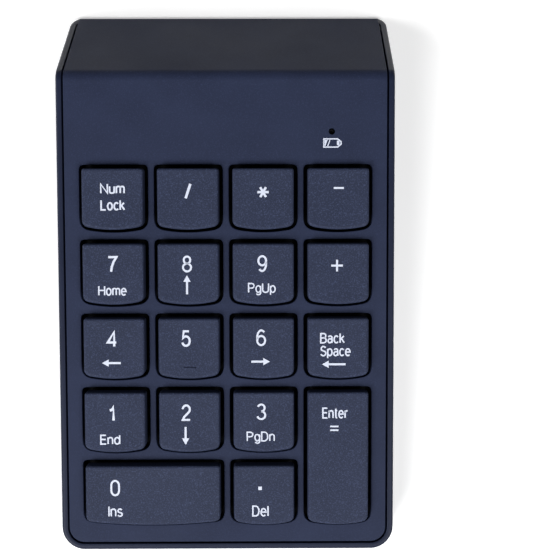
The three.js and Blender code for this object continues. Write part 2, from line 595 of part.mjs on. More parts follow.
function bottomCase() {
  const all = [-5, 40];
  const outside = prism(plan(0), [UNDERSIDE, 40], undefined, 5).intersect(under(0, 0));
  // The rear face closes the tub, so the floor stops short of it.
  const inside = prism(plan(WALL, 12), [FLOOR_TOP, 40]);
  const behind = cut(prism(plan(WALL, 12), all), under(COVER + 0.3, -8));
  const rearHalf = block([-WIDTH, WIDTH], [fold.y, DEPTH], all);
  const tub = cut(outside, inside, behind.intersect(rearHalf));

  const bay = pocket(BAY);
  const garage = pocket(GARAGE);
  const towers = Object.values(SCREW_PLACES).map((place) =>
    rod(TOWER_RADIUS, [UNDERSIDE + 0.4, BOSS_FOOT - 0.3], place),
  );
  const counterbores = Object.values(SCREW_PLACES).flatMap((place) => [
    rod(SCREW.head + 0.3, [0, SCREW.seat], place),
    rod(SCREW.shank + 0.15, [0, 10], place, undefined, 12),
  ]);
  const posts = Object.values(BOARD_SCREW_PLACES).map((place) =>
    rod(POST_RADIUS, [UNDERSIDE + 0.4, BOARD.bottom - 0.1], place),
  );
  const pilots = Object.values(BOARD_SCREW_PLACES).map((place) =>
    rod(BOARD_SCREW.shank + 0.1, [FLOOR_TOP + 0.3, 10], place, undefined, 10),
  );
  const ribs = FLOOR_RIBS.y.map((y) => {
    const across = [-FLOOR_RIBS.reach, FLOOR_RIBS.reach];
    const support = block(across, [y - FLOOR_RIBS.half, y + FLOOR_RIBS.half], [UNDERSIDE + 0.4, 30]);
    return support.intersect(under(-PLATE_BOTTOM + 0.2, 0));
  });

  const recesses = [];
  for (const [x, y] of Object.values(FOOT_PLACES)) {
    const gap = 0.15;
    const across = [x - FOOT.width / 2 - gap, x + FOOT.width / 2 + gap];
    const along = [y - FOOT.depth / 2 - gap, y + FOOT.depth / 2 + gap];
    const outline = roundedRectangle(across, along, FOOT.radius);
    recesses.push(prism(outline, [0, UNDERSIDE + FOOT.recess]));
  }
  const labelEdge = ([a, b]) => [a - 0.4, b + 0.4];
  const labelOutline = roundedRectangle(labelEdge(LABEL.x), labelEdge(LABEL.y), 1.4);
  recesses.push(prism(labelOutline, [0, UNDERSIDE + LABEL.recess]));
  // A slot and a shallow dish for the power switch's knob.
  const slotEnd = SWITCH.x + SWITCH.travel;
  const slotGap = 0.3;
  const slotX = [SWITCH.x - KNOB.half - slotGap, slotEnd + KNOB.half + slotGap];
  const slotY = [SWITCH.y - KNOB.halfDepth - slotGap, SWITCH.y + KNOB.halfDepth + slotGap];
  recesses.push(block(slotX, slotY, [0, 5]));
  const dish = roundedRectangle([SWITCH.x - 4, slotEnd + 4], [SWITCH.y - 3.2, SWITCH.y + 3.2], 2);
  recesses.push(prism(dish, [0, UNDERSIDE + 0.6]));
  // Finger notches behind the battery door and in front of the receiver.
  const bayMiddle = (BAY.x[0] + BAY.x[1]) / 2;
  const doorNotchX = [bayMiddle - DOOR_NOTCH.half, bayMiddle + DOOR_NOTCH.half];
  const doorNotchY = [BAY.y[1] - 1, BAY.y[1] + DOOR_NOTCH.reach];
  recesses.push(block(doorNotchX, doorNotchY, [0, UNDERSIDE + DOOR_NOTCH.depth]));
  const { half, reach, top, wall, roof } = RECEIVER_NOTCH;
  const front = GARAGE.y[0];
  recesses.push(block([RECEIVER.x - half, RECEIVER.x + half], [front - reach, front + 1], [0, top]));
  const outerHalf = half + wall;
  const notchWall = block(
    [RECEIVER.x - outerHalf, RECEIVER.x + outerHalf],
    [front - reach - wall, front],
    [UNDERSIDE, top + roof],
  );
  // Slots in the bay's front wall take the door's hooks.
  for (const x of HOOK.x) {
    const across = [x - HOOK.half - HOOK.gap, x + HOOK.half + HOOK.gap];
    recesses.push(block(across, [BAY.y[0] - BAY.wall - 0.3, BAY.y[0] + 0.3], [FLOOR_TOP, HOOK.slotTop]));
  }
  const solidCase = join(tub, bay.body, garage.body, notchWall, ...towers, ...posts, ...ribs);
  return cut(solidCase, bay.space, garage.space, ...counterbores, ...pilots, ...recesses);
}

part("bottom_case", bottomCase(), "case");

// ---------------------------------------------------------------- battery door, cells, contacts

function batteryDoor() {
  const x = [BAY.x[0] + DOOR_GAP, BAY.x[1] - DOOR_GAP];
  const y = [BAY.y[0] + DOOR_GAP, BAY.y[1] - DOOR_GAP];
  const middle = (x[0] + x[1]) / 2;
  const plate = prism(roundedRectangle(x, y, 0.6), [UNDERSIDE, FLOOR_TOP]);
  const around = (at, half) => [at - half, at + half];
  const hookTop = FLOOR_TOP + HOOK.height;
  const hooks = HOOK.x.flatMap((at) => [
    block(around(at, HOOK.half), [y[0], y[0] + HOOK.foot], [FLOOR_TOP - 0.5, hookTop]),
    block(around(at, HOOK.half), [y[0] - HOOK.reach, y[0] + 0.4], [FLOOR_TOP + 0.3, hookTop]),
  ]);
  // The latch tongue stands between two slots in the door's rear edge.
  const latchZ = [FLOOR_TOP - 0.5, FLOOR_TOP + LATCH.height];
  const latch = block(around(middle, LATCH.half), [y[1] - 1, y[1] + 0.1], latchZ);
  const slots = [-LATCH.slotAt, LATCH.slotAt].map((at) =>
    block(around(middle + at, LATCH.slotHalf), [y[1] - LATCH.slotLength, y[1] + 1], [0, 5]),
  );
  const grips = GRIP.rows.map((back) =>
    block(around(middle, GRIP.half), around(y[1] - back, GRIP.rowHalf), [0, UNDERSIDE + GRIP.depth]),
  );
  return cut(join(plate, ...hooks, latch), ...slots, ...grips);
}

part("battery_door", batteryDoor(), "case");

// A cell about the Z axis, its flat end at 0.
const cellOutline = [
  [0, 0],
  [CELL.radius - 0.6, 0],
  [CELL.radius, 0.6],
  [CELL.radius, CELL.length - 0.6],
  [CELL.radius - 0.6, CELL.length],
  [CELL.nubRadius, CELL.length],
  [CELL.nubRadius, CELL.length + CELL.nub],
  [0, CELL.length + CELL.nub],
];

CELL.y.forEach((y, index) => {
  const cell = part("cell_" + (index + 1), turning(cellOutline, 18), "cell");
  // The front cell points its nub to the right, the rear one to the left.
  const right = index === 0;
  const sprung = CONTACT.gap + CONTACT.thickness + CONTACT.gap + SPRING.length + 2 * CONTACT.gap;
  const end = right ? BAY.x[0] + sprung : BAY.x[1] - sprung;
  cell.rotation.y = right ? Math.PI / 2 : -Math.PI / 2;
  cell.position.set(end, y, CELL.z);

  const spring = part("cell_spring_" + (index + 1), springCoil(), "spring");
  const foot = CONTACT.gap + CONTACT.thickness + CONTACT.gap + SPRING.wire;
  spring.rotation.y = cell.rotation.y;
  spring.position.set(right ? BAY.x[0] + foot : BAY.x[1] - foot, y, CELL.z);
});

// A tapering coil of wire, wide at its foot.
function springCoil() {
  class Coil extends THREE.Curve {
    getPoint(t) {
      const angle = 2 * Math.PI * SPRING.turns * t;
      const radius = THREE.MathUtils.lerp(SPRING.wide, SPRING.narrow, t);
      const rise = (SPRING.length - 2 * SPRING.wire) * t;
      return new THREE.Vector3(radius * Math.cos(angle), radius * Math.sin(angle), rise);
    }
  }
  const section = new THREE.Shape().absarc(0, 0, SPRING.wire, 0, 2 * Math.PI);
  const options = { steps: 32, extrudePath: new Coil(), curveSegments: 2 };
  return geometryOf(solid(new THREE.ExtrudeGeometry(section, options)));
}

// A contact plate behind the cells whose centres are at y0 and y1.
function contactPlate(x, y0, y1) {
  const height = [CELL.z - CONTACT.half, CELL.z + CONTACT.half];
  return block([x, x + CONTACT.thickness], [y0 - CONTACT.half, y1 + CONTACT.half], height);
}

const leftPlate = BAY.x[0] + CONTACT.gap;
const rightPlate = BAY.x[1] - CONTACT.gap - CONTACT.thickness;
const [frontCell, rearCell] = CELL.y;
part("bridge_contact", contactPlate(leftPlate, frontCell, rearCell), "spring");
part("positive_contact", contactPlate(rightPlate, frontCell, frontCell), "spring");
part("negative_contact", contactPlate(rightPlate, rearCell, rearCell), "spring");

// ---------------------------------------------------------------- electronics

// The board lies along the right-hand wall and narrows beside the battery bay.
function controllerBoard() {
  const { x, y, waist } = BOARD;
  const shape = new THREE.Shape();
  shape.moveTo(x[0], y[0]);
  shape.lineTo(x[1], y[0]);
  shape.lineTo(x[1], waist.y);
  shape.lineTo(waist.x, waist.y);
  shape.lineTo(waist.x, y[1]);
  shape.lineTo(x[0], y[1]);
  const holes = Object.values(BOARD_SCREW_PLACES).map((place) => rod(0.95, [0, 9], place, undefined, 10));
  return cut(prism(shape, [BOARD.bottom, BOARD.top]), ...holes);
}

part("controller_board", controllerBoard(), "board");
const boardTop = BOARD.top + 0.1;
const chipSide = [-CHIP.side / 2, CHIP.side / 2];
part("radio_chip", block(chipSide, chipSide, [0, CHIP.height]), "chip", keypad, [CHIP.x, CHIP.y, boardTop]);
const can = roundedRectangle(
  [-CRYSTAL.half, CRYSTAL.half],
  [-CRYSTAL.halfDepth, CRYSTAL.halfDepth],
  CRYSTAL.radius,
);
part("crystal", prism(can, [0, CRYSTAL.height]), "steel", keypad, [CRYSTAL.x, CRYSTAL.y, boardTop]);

// The membrane's tail plugs into the connector's slot from above.
function membraneConnector() {
  const { half, halfDepth, height, slotHalf, slotFoot } = CONNECTOR;
  const slotX = [-TAIL.half - 0.3, TAIL.half + 0.3];
  return cut(
    block([-half, half], [-halfDepth, halfDepth], [0, height]),
    block(slotX, [-slotHalf, slotHalf], [slotFoot, height + 1]),
  );
}

part("membrane_connector", membraneConnector(), "label", keypad, [TAIL.x, TAIL.bendY, boardTop]);

// The lamp stands under the light pipe, on the line of the deck's normal through the lamp hole.
const lampTop = onDeck(LAMP.u, LAMP.v, PIPE.foot - PIPE.lampGap);
const lampHeight = lampTop.z - LAMP.z;
const lampOutline = [
  [0, 0],
  [LAMP.radius, 0],
  [LAMP.radius, lampHeight - 0.8],
  [LAMP.radius - 0.5, lampHeight - 0.2],
  [0, lampHeight],
];
part("status_lamp", turning(lampOutline, 12), "lamp", keypad, [lampTop.x, lampTop.y, LAMP.z]);
const pipeOutline = [
  [0, PIPE.foot],
  [PIPE.radius, PIPE.foot],
  [PIPE.radius, -COVER - 1],
  [PIPE.collar, -COVER - 1],
  [PIPE.collar, -COVER - 0.1],
  [PIPE.tip, -COVER - 0.1],
  [PIPE.tip, PIPE.top],
  [0, PIPE.top],
];
part("light_pipe", turning(pipeOutline, 12), "clear", deck, [LAMP.u, LAMP.v, 0]);

// The power switch under the board, and the slider whose knob shows in the case's slot.
function switchBody() {
  const { half, halfDepth, height, groove } = SWITCH_BODY;
  const body = block([-half, SWITCH.travel + half], [-halfDepth, halfDepth], [0, height]);
  const leverGroove = block([-1, SWITCH.travel + 1], [-groove, groove], [-1, 1]);
  return cut(body, leverGroove);
}

function switchSlider() {
  const { half, halfDepth, flange, flangeDepth, fork } = KNOB;
  return join(
    block([-half, half], [-halfDepth, halfDepth], [UNDERSIDE + 0.2, FLOOR_TOP + 0.3]),
    block([-flange, flange], [-flangeDepth, flangeDepth], [FLOOR_TOP + 0.1, FLOOR_TOP + 0.7]),
    block([-fork, fork], [-fork, fork], [FLOOR_TOP + 0.4, FLOOR_TOP + 1.7]),
  );
}

const underBoard = BOARD.bottom - SWITCH_BODY.height - 0.1;
part("power_switch_body", switchBody(), "steel", keypad, [SWITCH.x, SWITCH.y, underBoard]);
part("power_switch_slider", switchSlider(), "innerPlastic", keypad, [SWITCH.x, SWITCH.y, 0]);

// ---------------------------------------------------------------- receiver in its garage

// The receiver's plug points to the rear. Its shell is a folded sheet, open at the rear.
function receiverShell() {
  const start = RECEIVER_CAP.length - RECEIVER_CAP.socket;
  const end = RECEIVER_CAP.length + USB.length;
  const halves = [USB.width / 2, USB.height / 2];
  const tube = block([-halves[0], halves[0]], [start, end], [-halves[1], halves[1]]);
  const [w, h] = halves.map((half) => half - USB.sheet);
  const middle = RECEIVER_CAP.length + USB_WINDOW.at;
  const along = [middle - USB_WINDOW.reach, middle + USB_WINDOW.reach];
  const windows = [-USB_WINDOW.x, USB_WINDOW.x].map((x) =>
    block([x - USB_WINDOW.half, x + USB_WINDOW.half], along, [-USB.height, USB.height]),
  );
  return cut(tube, block([-w, w], [start - 1, end + 1], [-h, h]), ...windows);
}

function receiverCap() {
  const { width, height, length, radius, socket: depth } = RECEIVER_CAP;
  const outline = roundedRectangle([-width / 2, width / 2], [0, length], radius);
  const body = prism(outline, [-height / 2, height / 2]);
  const [w, h] = [USB.width / 2 + 0.15, USB.height / 2 + 0.15];
  const socket = block([-w, w], [length - depth - 0.3, length + 1], [-h, h]);
  const grooves = [];
  for (let i = 0; i < CAP_GROOVE.count; i++) {
    const at = CAP_GROOVE.first + i * CAP_GROOVE.pitch;
    const along = [at - CAP_GROOVE.half, at + CAP_GROOVE.half];
    const bottom = width / 2 - CAP_GROOVE.depth;
    grooves.push(block([bottom, width], along, [-height, height]));
    grooves.push(block([-width, -bottom], along, [-height, height]));
  }
  return cut(body, socket, ...grooves);
}

const receiver = new THREE.Group();
receiver.position.set(RECEIVER.x, RECEIVER.y, RECEIVER.z);
keypad.add(receiver);
part("receiver_shell", receiverShell(), "steel", receiver);
part("receiver_cap", receiverCap(), "innerPlastic", receiver);
const tongueY = [
  RECEIVER_CAP.length - RECEIVER_CAP.socket,
  RECEIVER_CAP.length + USB.length - 0.8,
];
part("receiver_tongue", block([-5.4, 5.4], tongueY, [-1.8, 0]), "chip", receiver);

// ---------------------------------------------------------------- screws, feet, label

// A pan-head screw, head down, its head's underside at 0.
function screw({ head, headHeight, shank, length }) {
  const outline = [
    [0, -headHeight],
    [head - 0.5, -headHeight],
    [head, -headHeight + 0.5],
    [head, 0],
    [shank, 0],
    [shank, length - 0.8],
    [0, length],
  ];
  const arm = (a, b) => block([-a, a], [-b, b], [-headHeight - 1, -headHeight + 0.6]);
  return geometryOf(cut(turning(outline, 12), arm(1.1, 0.25), arm(0.25, 1.1)));
}

const caseScrew = screw(SCREW);
for (const [place, [x, y]] of Object.entries(SCREW_PLACES)) {
  part("case_screw_" + place, caseScrew, "steel", keypad, [x, y, SCREW.seat - 0.1]);
}
const boardScrew = screw(BOARD_SCREW);
for (const [place, [x, y]] of Object.entries(BOARD_SCREW_PLACES)) {
  const made = part("board_screw_" + place, boardScrew, "steel", keypad, [x, y, boardTop]);
  made.rotation.x = Math.PI;
}

const footOutline = roundedRectangle(
  [-FOOT.width / 2, FOOT.width / 2],
  [-FOOT.depth / 2, FOOT.depth / 2],
  FOOT.radius,
);
const foot = geometryOf(prism(footOutline, [0, FOOT.height]));
for (const [place, [x, y]] of Object.entries(FOOT_PLACES)) {
  part("foot_" + place, foot, "footRubber", keypad, [x, y, 0]);
}

const labelZ = UNDERSIDE + LABEL.recess - 0.05;
const label = prism(roundedRectangle(LABEL.x, LABEL.y, 1), [labelZ - LABEL.thickness, labelZ]);
part("rating_label", label, "label");

export default keypad;
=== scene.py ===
"""The looks of a wireless numeric keypad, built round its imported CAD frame.

Shapes are worked out in millimetres in the keypad's own frame (X right, Y to the rear, Z up) and turned
into metres where a piece is finished. The deck has a frame of its own: u right, v up the slope, n outwards.
"""
import math

import bmesh
import bpy
from mathutils import Matrix, Vector
from mathutils.bvhtree import BVHTree


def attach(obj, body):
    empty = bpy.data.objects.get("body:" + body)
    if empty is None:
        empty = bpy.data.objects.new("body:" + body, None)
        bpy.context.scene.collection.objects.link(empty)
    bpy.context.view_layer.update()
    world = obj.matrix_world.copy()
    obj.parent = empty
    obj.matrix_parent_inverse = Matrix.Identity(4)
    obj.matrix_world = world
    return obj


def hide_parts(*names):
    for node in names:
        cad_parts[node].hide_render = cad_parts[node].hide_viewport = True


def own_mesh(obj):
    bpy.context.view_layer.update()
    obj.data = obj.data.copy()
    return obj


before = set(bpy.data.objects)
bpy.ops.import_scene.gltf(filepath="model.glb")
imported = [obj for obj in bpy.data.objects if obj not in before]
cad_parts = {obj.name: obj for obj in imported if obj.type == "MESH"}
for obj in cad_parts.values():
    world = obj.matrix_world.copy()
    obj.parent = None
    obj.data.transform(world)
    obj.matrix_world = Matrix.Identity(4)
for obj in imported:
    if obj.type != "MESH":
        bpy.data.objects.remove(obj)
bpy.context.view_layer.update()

# ---- driving dimensions, millimetres

MM = 0.001
WIDTH = 81.5
DEPTH = 134.9
UNDERSIDE = 1.0
FLOOR_TOP = 2.6
WALL = 1.5
GROOVE = 0.4
COVER = 2.0
FRONT_CORNER = 5.6
REAR_CORNER = 2.8

SLOPE = math.radians(7)
ROW_1 = (18.09, 21.93)  # y and z of the deck's surface at the first row of keys
FOLD_V = 30.04
FOLD_RADIUS = 3.4
REAR_FOOT_Z = 1.2

PITCH = 18.0
CAP = {"half": 7.4, "rear": 7.37, "front": -7.4, "bow": 0.95, "rear_radius": 0.8, "front_radius": 1.5}
OPENING = {"half": 8.27, "rear": 8.27, "front": -8.05, "bow": 1.05, "rear_radius": 1.3, "front_radius": 2.2}
CAP_TOP = 2.69
CAP_SKIRT = -1.2
CAP_SHELL = 1.0
CAP_ROOF = 1.2
CAP_EDGE = 0.55  # radius round the top of a keycap
CAP_DISH = 0.12  # how far the middle of a keycap's top lies below its edge
CAP_RIB = {"at": 9, "half": 1, "aside": (-3.6, -2.8)}  # steers a levelling wire under a long key
COVER_EDGE = 0.18  # radius round the cover's edges
STEM = 4.8
STEM_FOOT = -4.9
SHEET = {"x": (-36.6, 36.6), "y": (-79.2, 9.0), "radius": 1.5, "z": (-7.45, -6.95)}
DOME = {"foot": 4.0, "top": 2.0, "hollow_foot": 3.3, "hollow_top": 1.6, "z": -5.1, "roof": 0.7}

BAY = {"x": (-31.0, 21.0), "y": (30.3, 52.2), "top": 13.9, "wall": 1.2}
GARAGE = {"x": (-20.2, -4.2), "y": (5.0, 22.6), "top": 8.9, "wall": 1.2}
DOOR_GAP = 0.3
HOOKS = (-21.0, 11.0)
CELL = {"radius": 5.25, "length": 43.7, "nub": 0.8, "nub_radius": 1.9, "z": 8.3, "y": (35.85, 46.65)}
SPRING = {"length": 5.7, "turns": 4, "wire": 0.3, "wide": 3.4, "narrow": 2.3}
CONTACT_DEPTH = 0.6  # a contact plate and the gaps before and behind it
RECEIVER = (-12.2, 5.3, 4.9)
PLUG = {"width": 12.0, "height": 4.5, "length": 11.2, "sheet": 0.3, "seated": 2.4}
GRIP = {"width": 15.1, "height": 6.9, "length": 5.6}
SWITCH = {"x": 29.0, "y": 13.0, "travel": 4.0}
LAMP = (25.56, 16.12)
BATTERY_SIGN = (25.56, 13.33)
SCREW = {"head": 1.9, "height": 1.2, "shank": 1.0, "seat": 2.6, "length": 6.0}
SCREW_ROWS = {"front": (36.2, -62.5), "middle": (36.2, 31.0), "rear": (35.5, 57.0)}
BOARD_POSTS = ((35.6, 6.4), (30.8, 46.8))
BOARD_BOTTOM = 5.0
POST_RADIUS = {"screw": 2.9, "board": 1.9}
FLOOR_RIBS = {"x": (-35, 35), "y": (-56, -34, -12), "half": 0.6, "below": 9.2}
LATCH = {"slot": 4, "slot_half": 0.5, "length": 5, "grooves": (1.4, 2.8)}
FOOT = {"width": 12.0, "depth": 6.0, "radius": 1.6, "height": 1.4, "recess": 0.5}
FOOT_ROWS = {"front": (27.0, -60.0), "rear": (26.0, 59.5)}
LABEL = {"x": (-20.0, 20.0), "y": (-42.0, -18.0), "recess": 0.35, "thickness": 0.2}


def mirrored(rows):
    """Each row's place on the left and on the right."""
    return {row + side: (way * x, y) for row, (x, y) in rows.items()
            for side, way in (("_left", -1), ("_right", 1))}


SCREW_PLACES = mirrored(SCREW_ROWS)
FOOT_PLACES = mirrored(FOOT_ROWS)

SINGLE = (0.0, 0.0)  # extra half width and half depth of a key
WIDE = (PITCH / 2, 0.0)
TALL = (0.0, PITCH / 2)
KEY_ROWS = ("num_lock divide multiply subtract", "7 8 9 add", "4 5 6 backspace", "1 2 3")
KEYS = {name: (column, row, SINGLE) for row, names in enumerate(KEY_ROWS)
        for column, name in enumerate(names.split())}
KEYS.update({"enter": (3, 3.5, TALL), "0": (0.5, 4, WIDE), "decimal": (2, 4, SINGLE)})

DECK = Matrix.Translation((0, *ROW_1)) @ Matrix.Rotation(SLOPE, 4, "X")
FOLD = DECK @ Vector((0, FOLD_V, 0))
REAR_SLOPE = math.atan2(FOLD.z - REAR_FOOT_Z, DEPTH / 2 - FOLD.y)
TURN = SLOPE + REAR_SLOPE
FOLD_TANGENT = FOLD_RADIUS * math.tan(TURN / 2)
FOLD_CENTRE = DECK @ Vector((0, FOLD_V - FOLD_TANGENT, -FOLD_RADIUS))

CAMERA = {"tilt": -2.58, "roll": 0.34, "turn": 0.14, "lens": 77.14, "place": (0.01129, -0.01451, 0.30997)}

# ---- camera


def make_camera():
    """Nearly straight above the keypad."""
    tilt, roll, turn = (math.radians(CAMERA[way]) for way in ("tilt", "roll", "turn"))
    looks = Matrix.Rotation(turn, 3, "Z") @ Matrix.Rotation(roll, 3, "Y") @ Matrix.Rotation(tilt, 3, "X")
    data = bpy.data.cameras.new("camera")
    data.sensor_width = 36.0
    data.lens = CAMERA["lens"]
    data.clip_start = 0.01
    camera = bpy.data.objects.new("camera", data)
    bpy.context.scene.collection.objects.link(camera)
    camera.matrix_world = Matrix.Translation(CAMERA["place"]) @ looks.transposed().to_4x4()
    bpy.context.scene.camera = camera


make_camera()

# ---- materials

GRAIN_SCALE = 2600.0  # of the spark-eroded grain, per metre


class Nodes:
    """A new material's node tree, with its Principled shader."""

    def __init__(self, name):
        self.material = bpy.data.materials.new(name)
        self.material.use_nodes = True
        self.tree = self.material.node_tree
        self.shader = self.tree.nodes["Principled BSDF"]
        self.place = self.add("ShaderNodeTexCoord").outputs["Object"]

    def add(self, kind, **settings):
        node = self.tree.nodes.new(kind)
        for name, value in settings.items():
            setattr(node, name, value)
        return node

    def link(self, output, socket):
        self.tree.links.new(output, socket)

    def noise(self, scale, detail=2.0, roughness=0.5):
        node = self.add("ShaderNodeTexNoise")
        node.inputs["Scale"].default_value = scale
        node.inputs["Detail"].default_value = detail
        node.inputs["Roughness"].default_value = roughness
        self.link(self.place, node.inputs["Vector"])
        return node.outputs["Fac"]

    def spread(self, value, low, high, start=0.3, end=0.7):
        """value between start and end, stretched to low and high."""
        node = self.add("ShaderNodeMapRange")
        for name, number in zip(("From Min", "From Max", "To Min", "To Max"), (start, end, low, high)):
            node.inputs[name].default_value = number
        self.link(value, node.inputs["Value"])
        return node.outputs["Result"]

    def mixed(self, share, first, second):
        node = self.add("ShaderNodeMix", data_type="RGBA")
        self.link(share, node.inputs["Factor"])
        for colour, name in ((first, "A"), (second, "B")):
            socket = next(s for s in node.inputs if s.name == name and s.type == "RGBA")
            if isinstance(colour, tuple):
                socket.default_value = (*colour, 1)
            else:
                self.link(colour, socket)
        return next(s for s in node.outputs if s.type == "RGBA")

    def bump(self, height, strength, distance):
        node = self.add("ShaderNodeBump")
        node.inputs["Strength"].default_value = strength
        node.inputs["Distance"].default_value = distance
        self.link(height, node.inputs["Height"])
        previous = self.shader.inputs["Normal"]
        if previous.is_linked:
            self.link(previous.links[0].from_socket, node.inputs["Normal"])
        self.link(node.outputs["Normal"], previous)

    def base(self, share, first, second):
        """Mixes two colours into the shader's base colour."""
        self.link(self.mixed(share, first, second), self.shader.inputs["Base Color"])

    def gloss(self, value, low, high):
        """Spreads a value over the shader's roughness."""
        self.link(self.spread(value, low, high), self.shader.inputs["Roughness"])

    def fix(self, socket, value):
        self.shader.inputs[socket].default_value = value


def toned(colour, factor):
    return tuple(channel * factor for channel in colour)


def moulded(name, colour, roughness, grain=0.25, fleck=1.35, specular=0.5):
    """Moulded plastic: fine spark-eroded grain, faint flecks, slow changes of tone and gloss."""
    nodes = Nodes(name)
    flecks = nodes.spread(nodes.noise(GRAIN_SCALE * 1.3, 1.0), 0, 1, 0.5, 0.78)
    clouds = nodes.spread(nodes.noise(90.0, 3.0), 0, 1)
    plain = nodes.mixed(clouds, toned(colour, 0.92), toned(colour, 1.08))
    nodes.base(flecks, plain, toned(colour, fleck))
    nodes.gloss(nodes.noise(38.0, 4.0, 0.6), roughness - 0.05, roughness + 0.05)
    nodes.bump(nodes.noise(GRAIN_SCALE, 3.0, 0.6), grain, 0.00006)
    nodes.fix("Specular IOR Level", specular)
    return nodes.material


def printed(name, colour):
    """Screen-printed ink: slightly uneven cover over the grain below."""
    nodes = Nodes(name)
    patches = nodes.spread(nodes.noise(1900.0, 2.0), 0, 1)
    nodes.base(patches, toned(colour, 0.93), colour)
    nodes.gloss(nodes.noise(700.0), 0.42, 0.55)
    nodes.bump(nodes.noise(GRAIN_SCALE, 3.0), 0.15, 0.00004)
    return nodes.material


def metal(name, colour, roughness, scratches=0.12):
    """Rolled or drawn metal: fine lines along one direction, with dull patches."""
    nodes = Nodes(name)
    mapping = nodes.add("ShaderNodeMapping")
    mapping.inputs["Scale"].default_value = (1.0, 14.0, 1.0)
    nodes.link(nodes.place, mapping.inputs["Vector"])
    nodes.place = mapping.outputs["Vector"]
    lines = nodes.noise(520.0, 4.0, 0.7)
    dull = nodes.spread(nodes.noise(60.0, 3.0), 0, 1)
    nodes.base(dull, toned(colour, 0.86), colour)
    nodes.gloss(lines, roughness - 0.07, roughness + 0.09)
    nodes.bump(lines, scratches, 0.00003)
    nodes.fix("Metallic", 1.0)
    return nodes.material


def rubber(name, colour, roughness=0.85):
    """Rubber: matt, with a soft pebbled bloom."""
    nodes = Nodes(name)
    bloom = nodes.spread(nodes.noise(240.0, 4.0, 0.65), 0, 1)
    nodes.base(bloom, toned(colour, 0.85), toned(colour, 1.2))
    nodes.gloss(nodes.noise(900.0), roughness - 0.06, roughness + 0.06)
    nodes.bump(nodes.noise(1500.0, 2.0), 0.3, 0.00005)
    return nodes.material


def see_through(name, colour, roughness, share):
    """Clear or tinted plastic, slightly cloudy."""
    nodes = Nodes(name)
    clouds = nodes.spread(nodes.noise(300.0), 0, 1)
    nodes.base(clouds, toned(colour, 0.9), colour)
    nodes.gloss(nodes.noise(800.0), roughness, roughness + 0.1)
    nodes.fix("Transmission Weight", share)
    nodes.fix("IOR", 1.49)
    return nodes.material


def circuit_board(name):
    """Green solder mask with paler copper lines under it."""
    nodes = Nodes(name)
    lines = nodes.add("ShaderNodeTexBrick")
    nodes.link(nodes.place, lines.inputs["Vector"])
    settings = {"Scale": 420.0, "Mortar Size": 0.03, "Brick Width": 0.9, "Row Height": 0.5}
    for socket, value in settings.items():
        lines.inputs[socket].default_value = value
    nodes.base(nodes.spread(lines.outputs["Fac"], 0, 1, 0, 1), (0.012, 0.09, 0.035), (0.03, 0.17, 0.07))
    nodes.gloss(nodes.noise(400.0), 0.28, 0.4)
    nodes.bump(lines.outputs["Fac"], 0.2, 0.00004)
    return nodes.material


def cell_wrap(name):
    """A cell's printed sleeve: a blue body with a pale band towards its nub end."""
    nodes = Nodes(name)
    parts = nodes.add("ShaderNodeSeparateXYZ")
    nodes.link(nodes.place, parts.inputs["Vector"])
    band = nodes.spread(parts.outputs["X"], 0, 1, -0.0060, -0.0058)
    mottled = nodes.spread(nodes.noise(500.0), 0, 1)
    blue = nodes.mixed(mottled, (0.018, 0.06, 0.2), (0.024, 0.075, 0.23))
    nodes.base(band, blue, (0.5, 0.52, 0.55))
    nodes.gloss(nodes.noise(120.0), 0.22, 0.34)
    nodes.bump(nodes.noise(900.0), 0.05, 0.00003)
    return nodes.material


COVER_PLASTIC = moulded("cover_plastic", (0.0185, 0.0245, 0.0525), 0.56, specular=0.09)
CASE_PLASTIC = moulded("case_plastic", (0.011, 0.0150, 0.034), 0.42, grain=0.15, specular=0.14)
KEY_PLASTIC = moulded("key_plastic", (0.0210, 0.0270, 0.0530), 0.56, grain=0.5, fleck=2.2, specular=0.11)
INNER_PLASTIC = moulded("inner_plastic", (0.0025, 0.0028, 0.0045), 0.6, grain=0.15, specular=0.12)
GRIP_PLASTIC = moulded("grip_plastic", (0.008, 0.008, 0.010), 0.42, grain=0.15)
PALE_PLASTIC = moulded("pale_plastic", (0.62, 0.60, 0.54), 0.45, grain=0.1, fleck=1.02)
CHIP_RESIN = moulded("chip_resin", (0.016, 0.016, 0.018), 0.5, grain=0.5)
LABEL_FOIL = moulded("label_foil", (0.33, 0.34, 0.35), 0.38, grain=0.08, fleck=1.05)
INK = printed("ink", (0.60, 0.64, 0.76))
LABEL_INK = printed("label_ink", (0.06, 0.06, 0.07))
STEEL = metal("steel", (0.60, 0.60, 0.59), 0.3)
SPRING_STEEL = metal("spring_steel", (0.66, 0.66, 0.65), 0.22, scratches=0.06)
GOLD = metal("gold_plate", (0.83, 0.62, 0.25), 0.25)
SILICONE = rubber("silicone", (0.30, 0.31, 0.32), 0.7)
FOOT_RUBBER = rubber("foot_rubber", (0.012, 0.012, 0.013))
FILM = see_through("membrane_film", (0.62, 0.68, 0.58), 0.25, 0.35)
PIPE = see_through("smoked_pipe", (0.003, 0.003, 0.005), 0.45, 0.3)
LAMP_RESIN = see_through("lamp_resin", (0.35, 0.75, 0.30), 0.15, 0.6)
BOARD = circuit_board("circuit_board")
CELL_WRAP = cell_wrap("cell_wrap")

# ---- mesh tools


def mesh_of(points, faces):
    """A mesh whose faces all point out."""
    mesh = bpy.data.meshes.new("shape")
    mesh.from_pydata([tuple(point) for point in points], [], faces)
    shape = bmesh.new()
    shape.from_mesh(mesh)
    bmesh.ops.recalc_face_normals(shape, faces=shape.faces)
    shape.to_mesh(mesh)
    shape.free()
    return mesh


def holder(mesh, name="holder"):
    made = bpy.data.objects.new(name, mesh)
    bpy.context.scene.collection.objects.link(made)
    return made


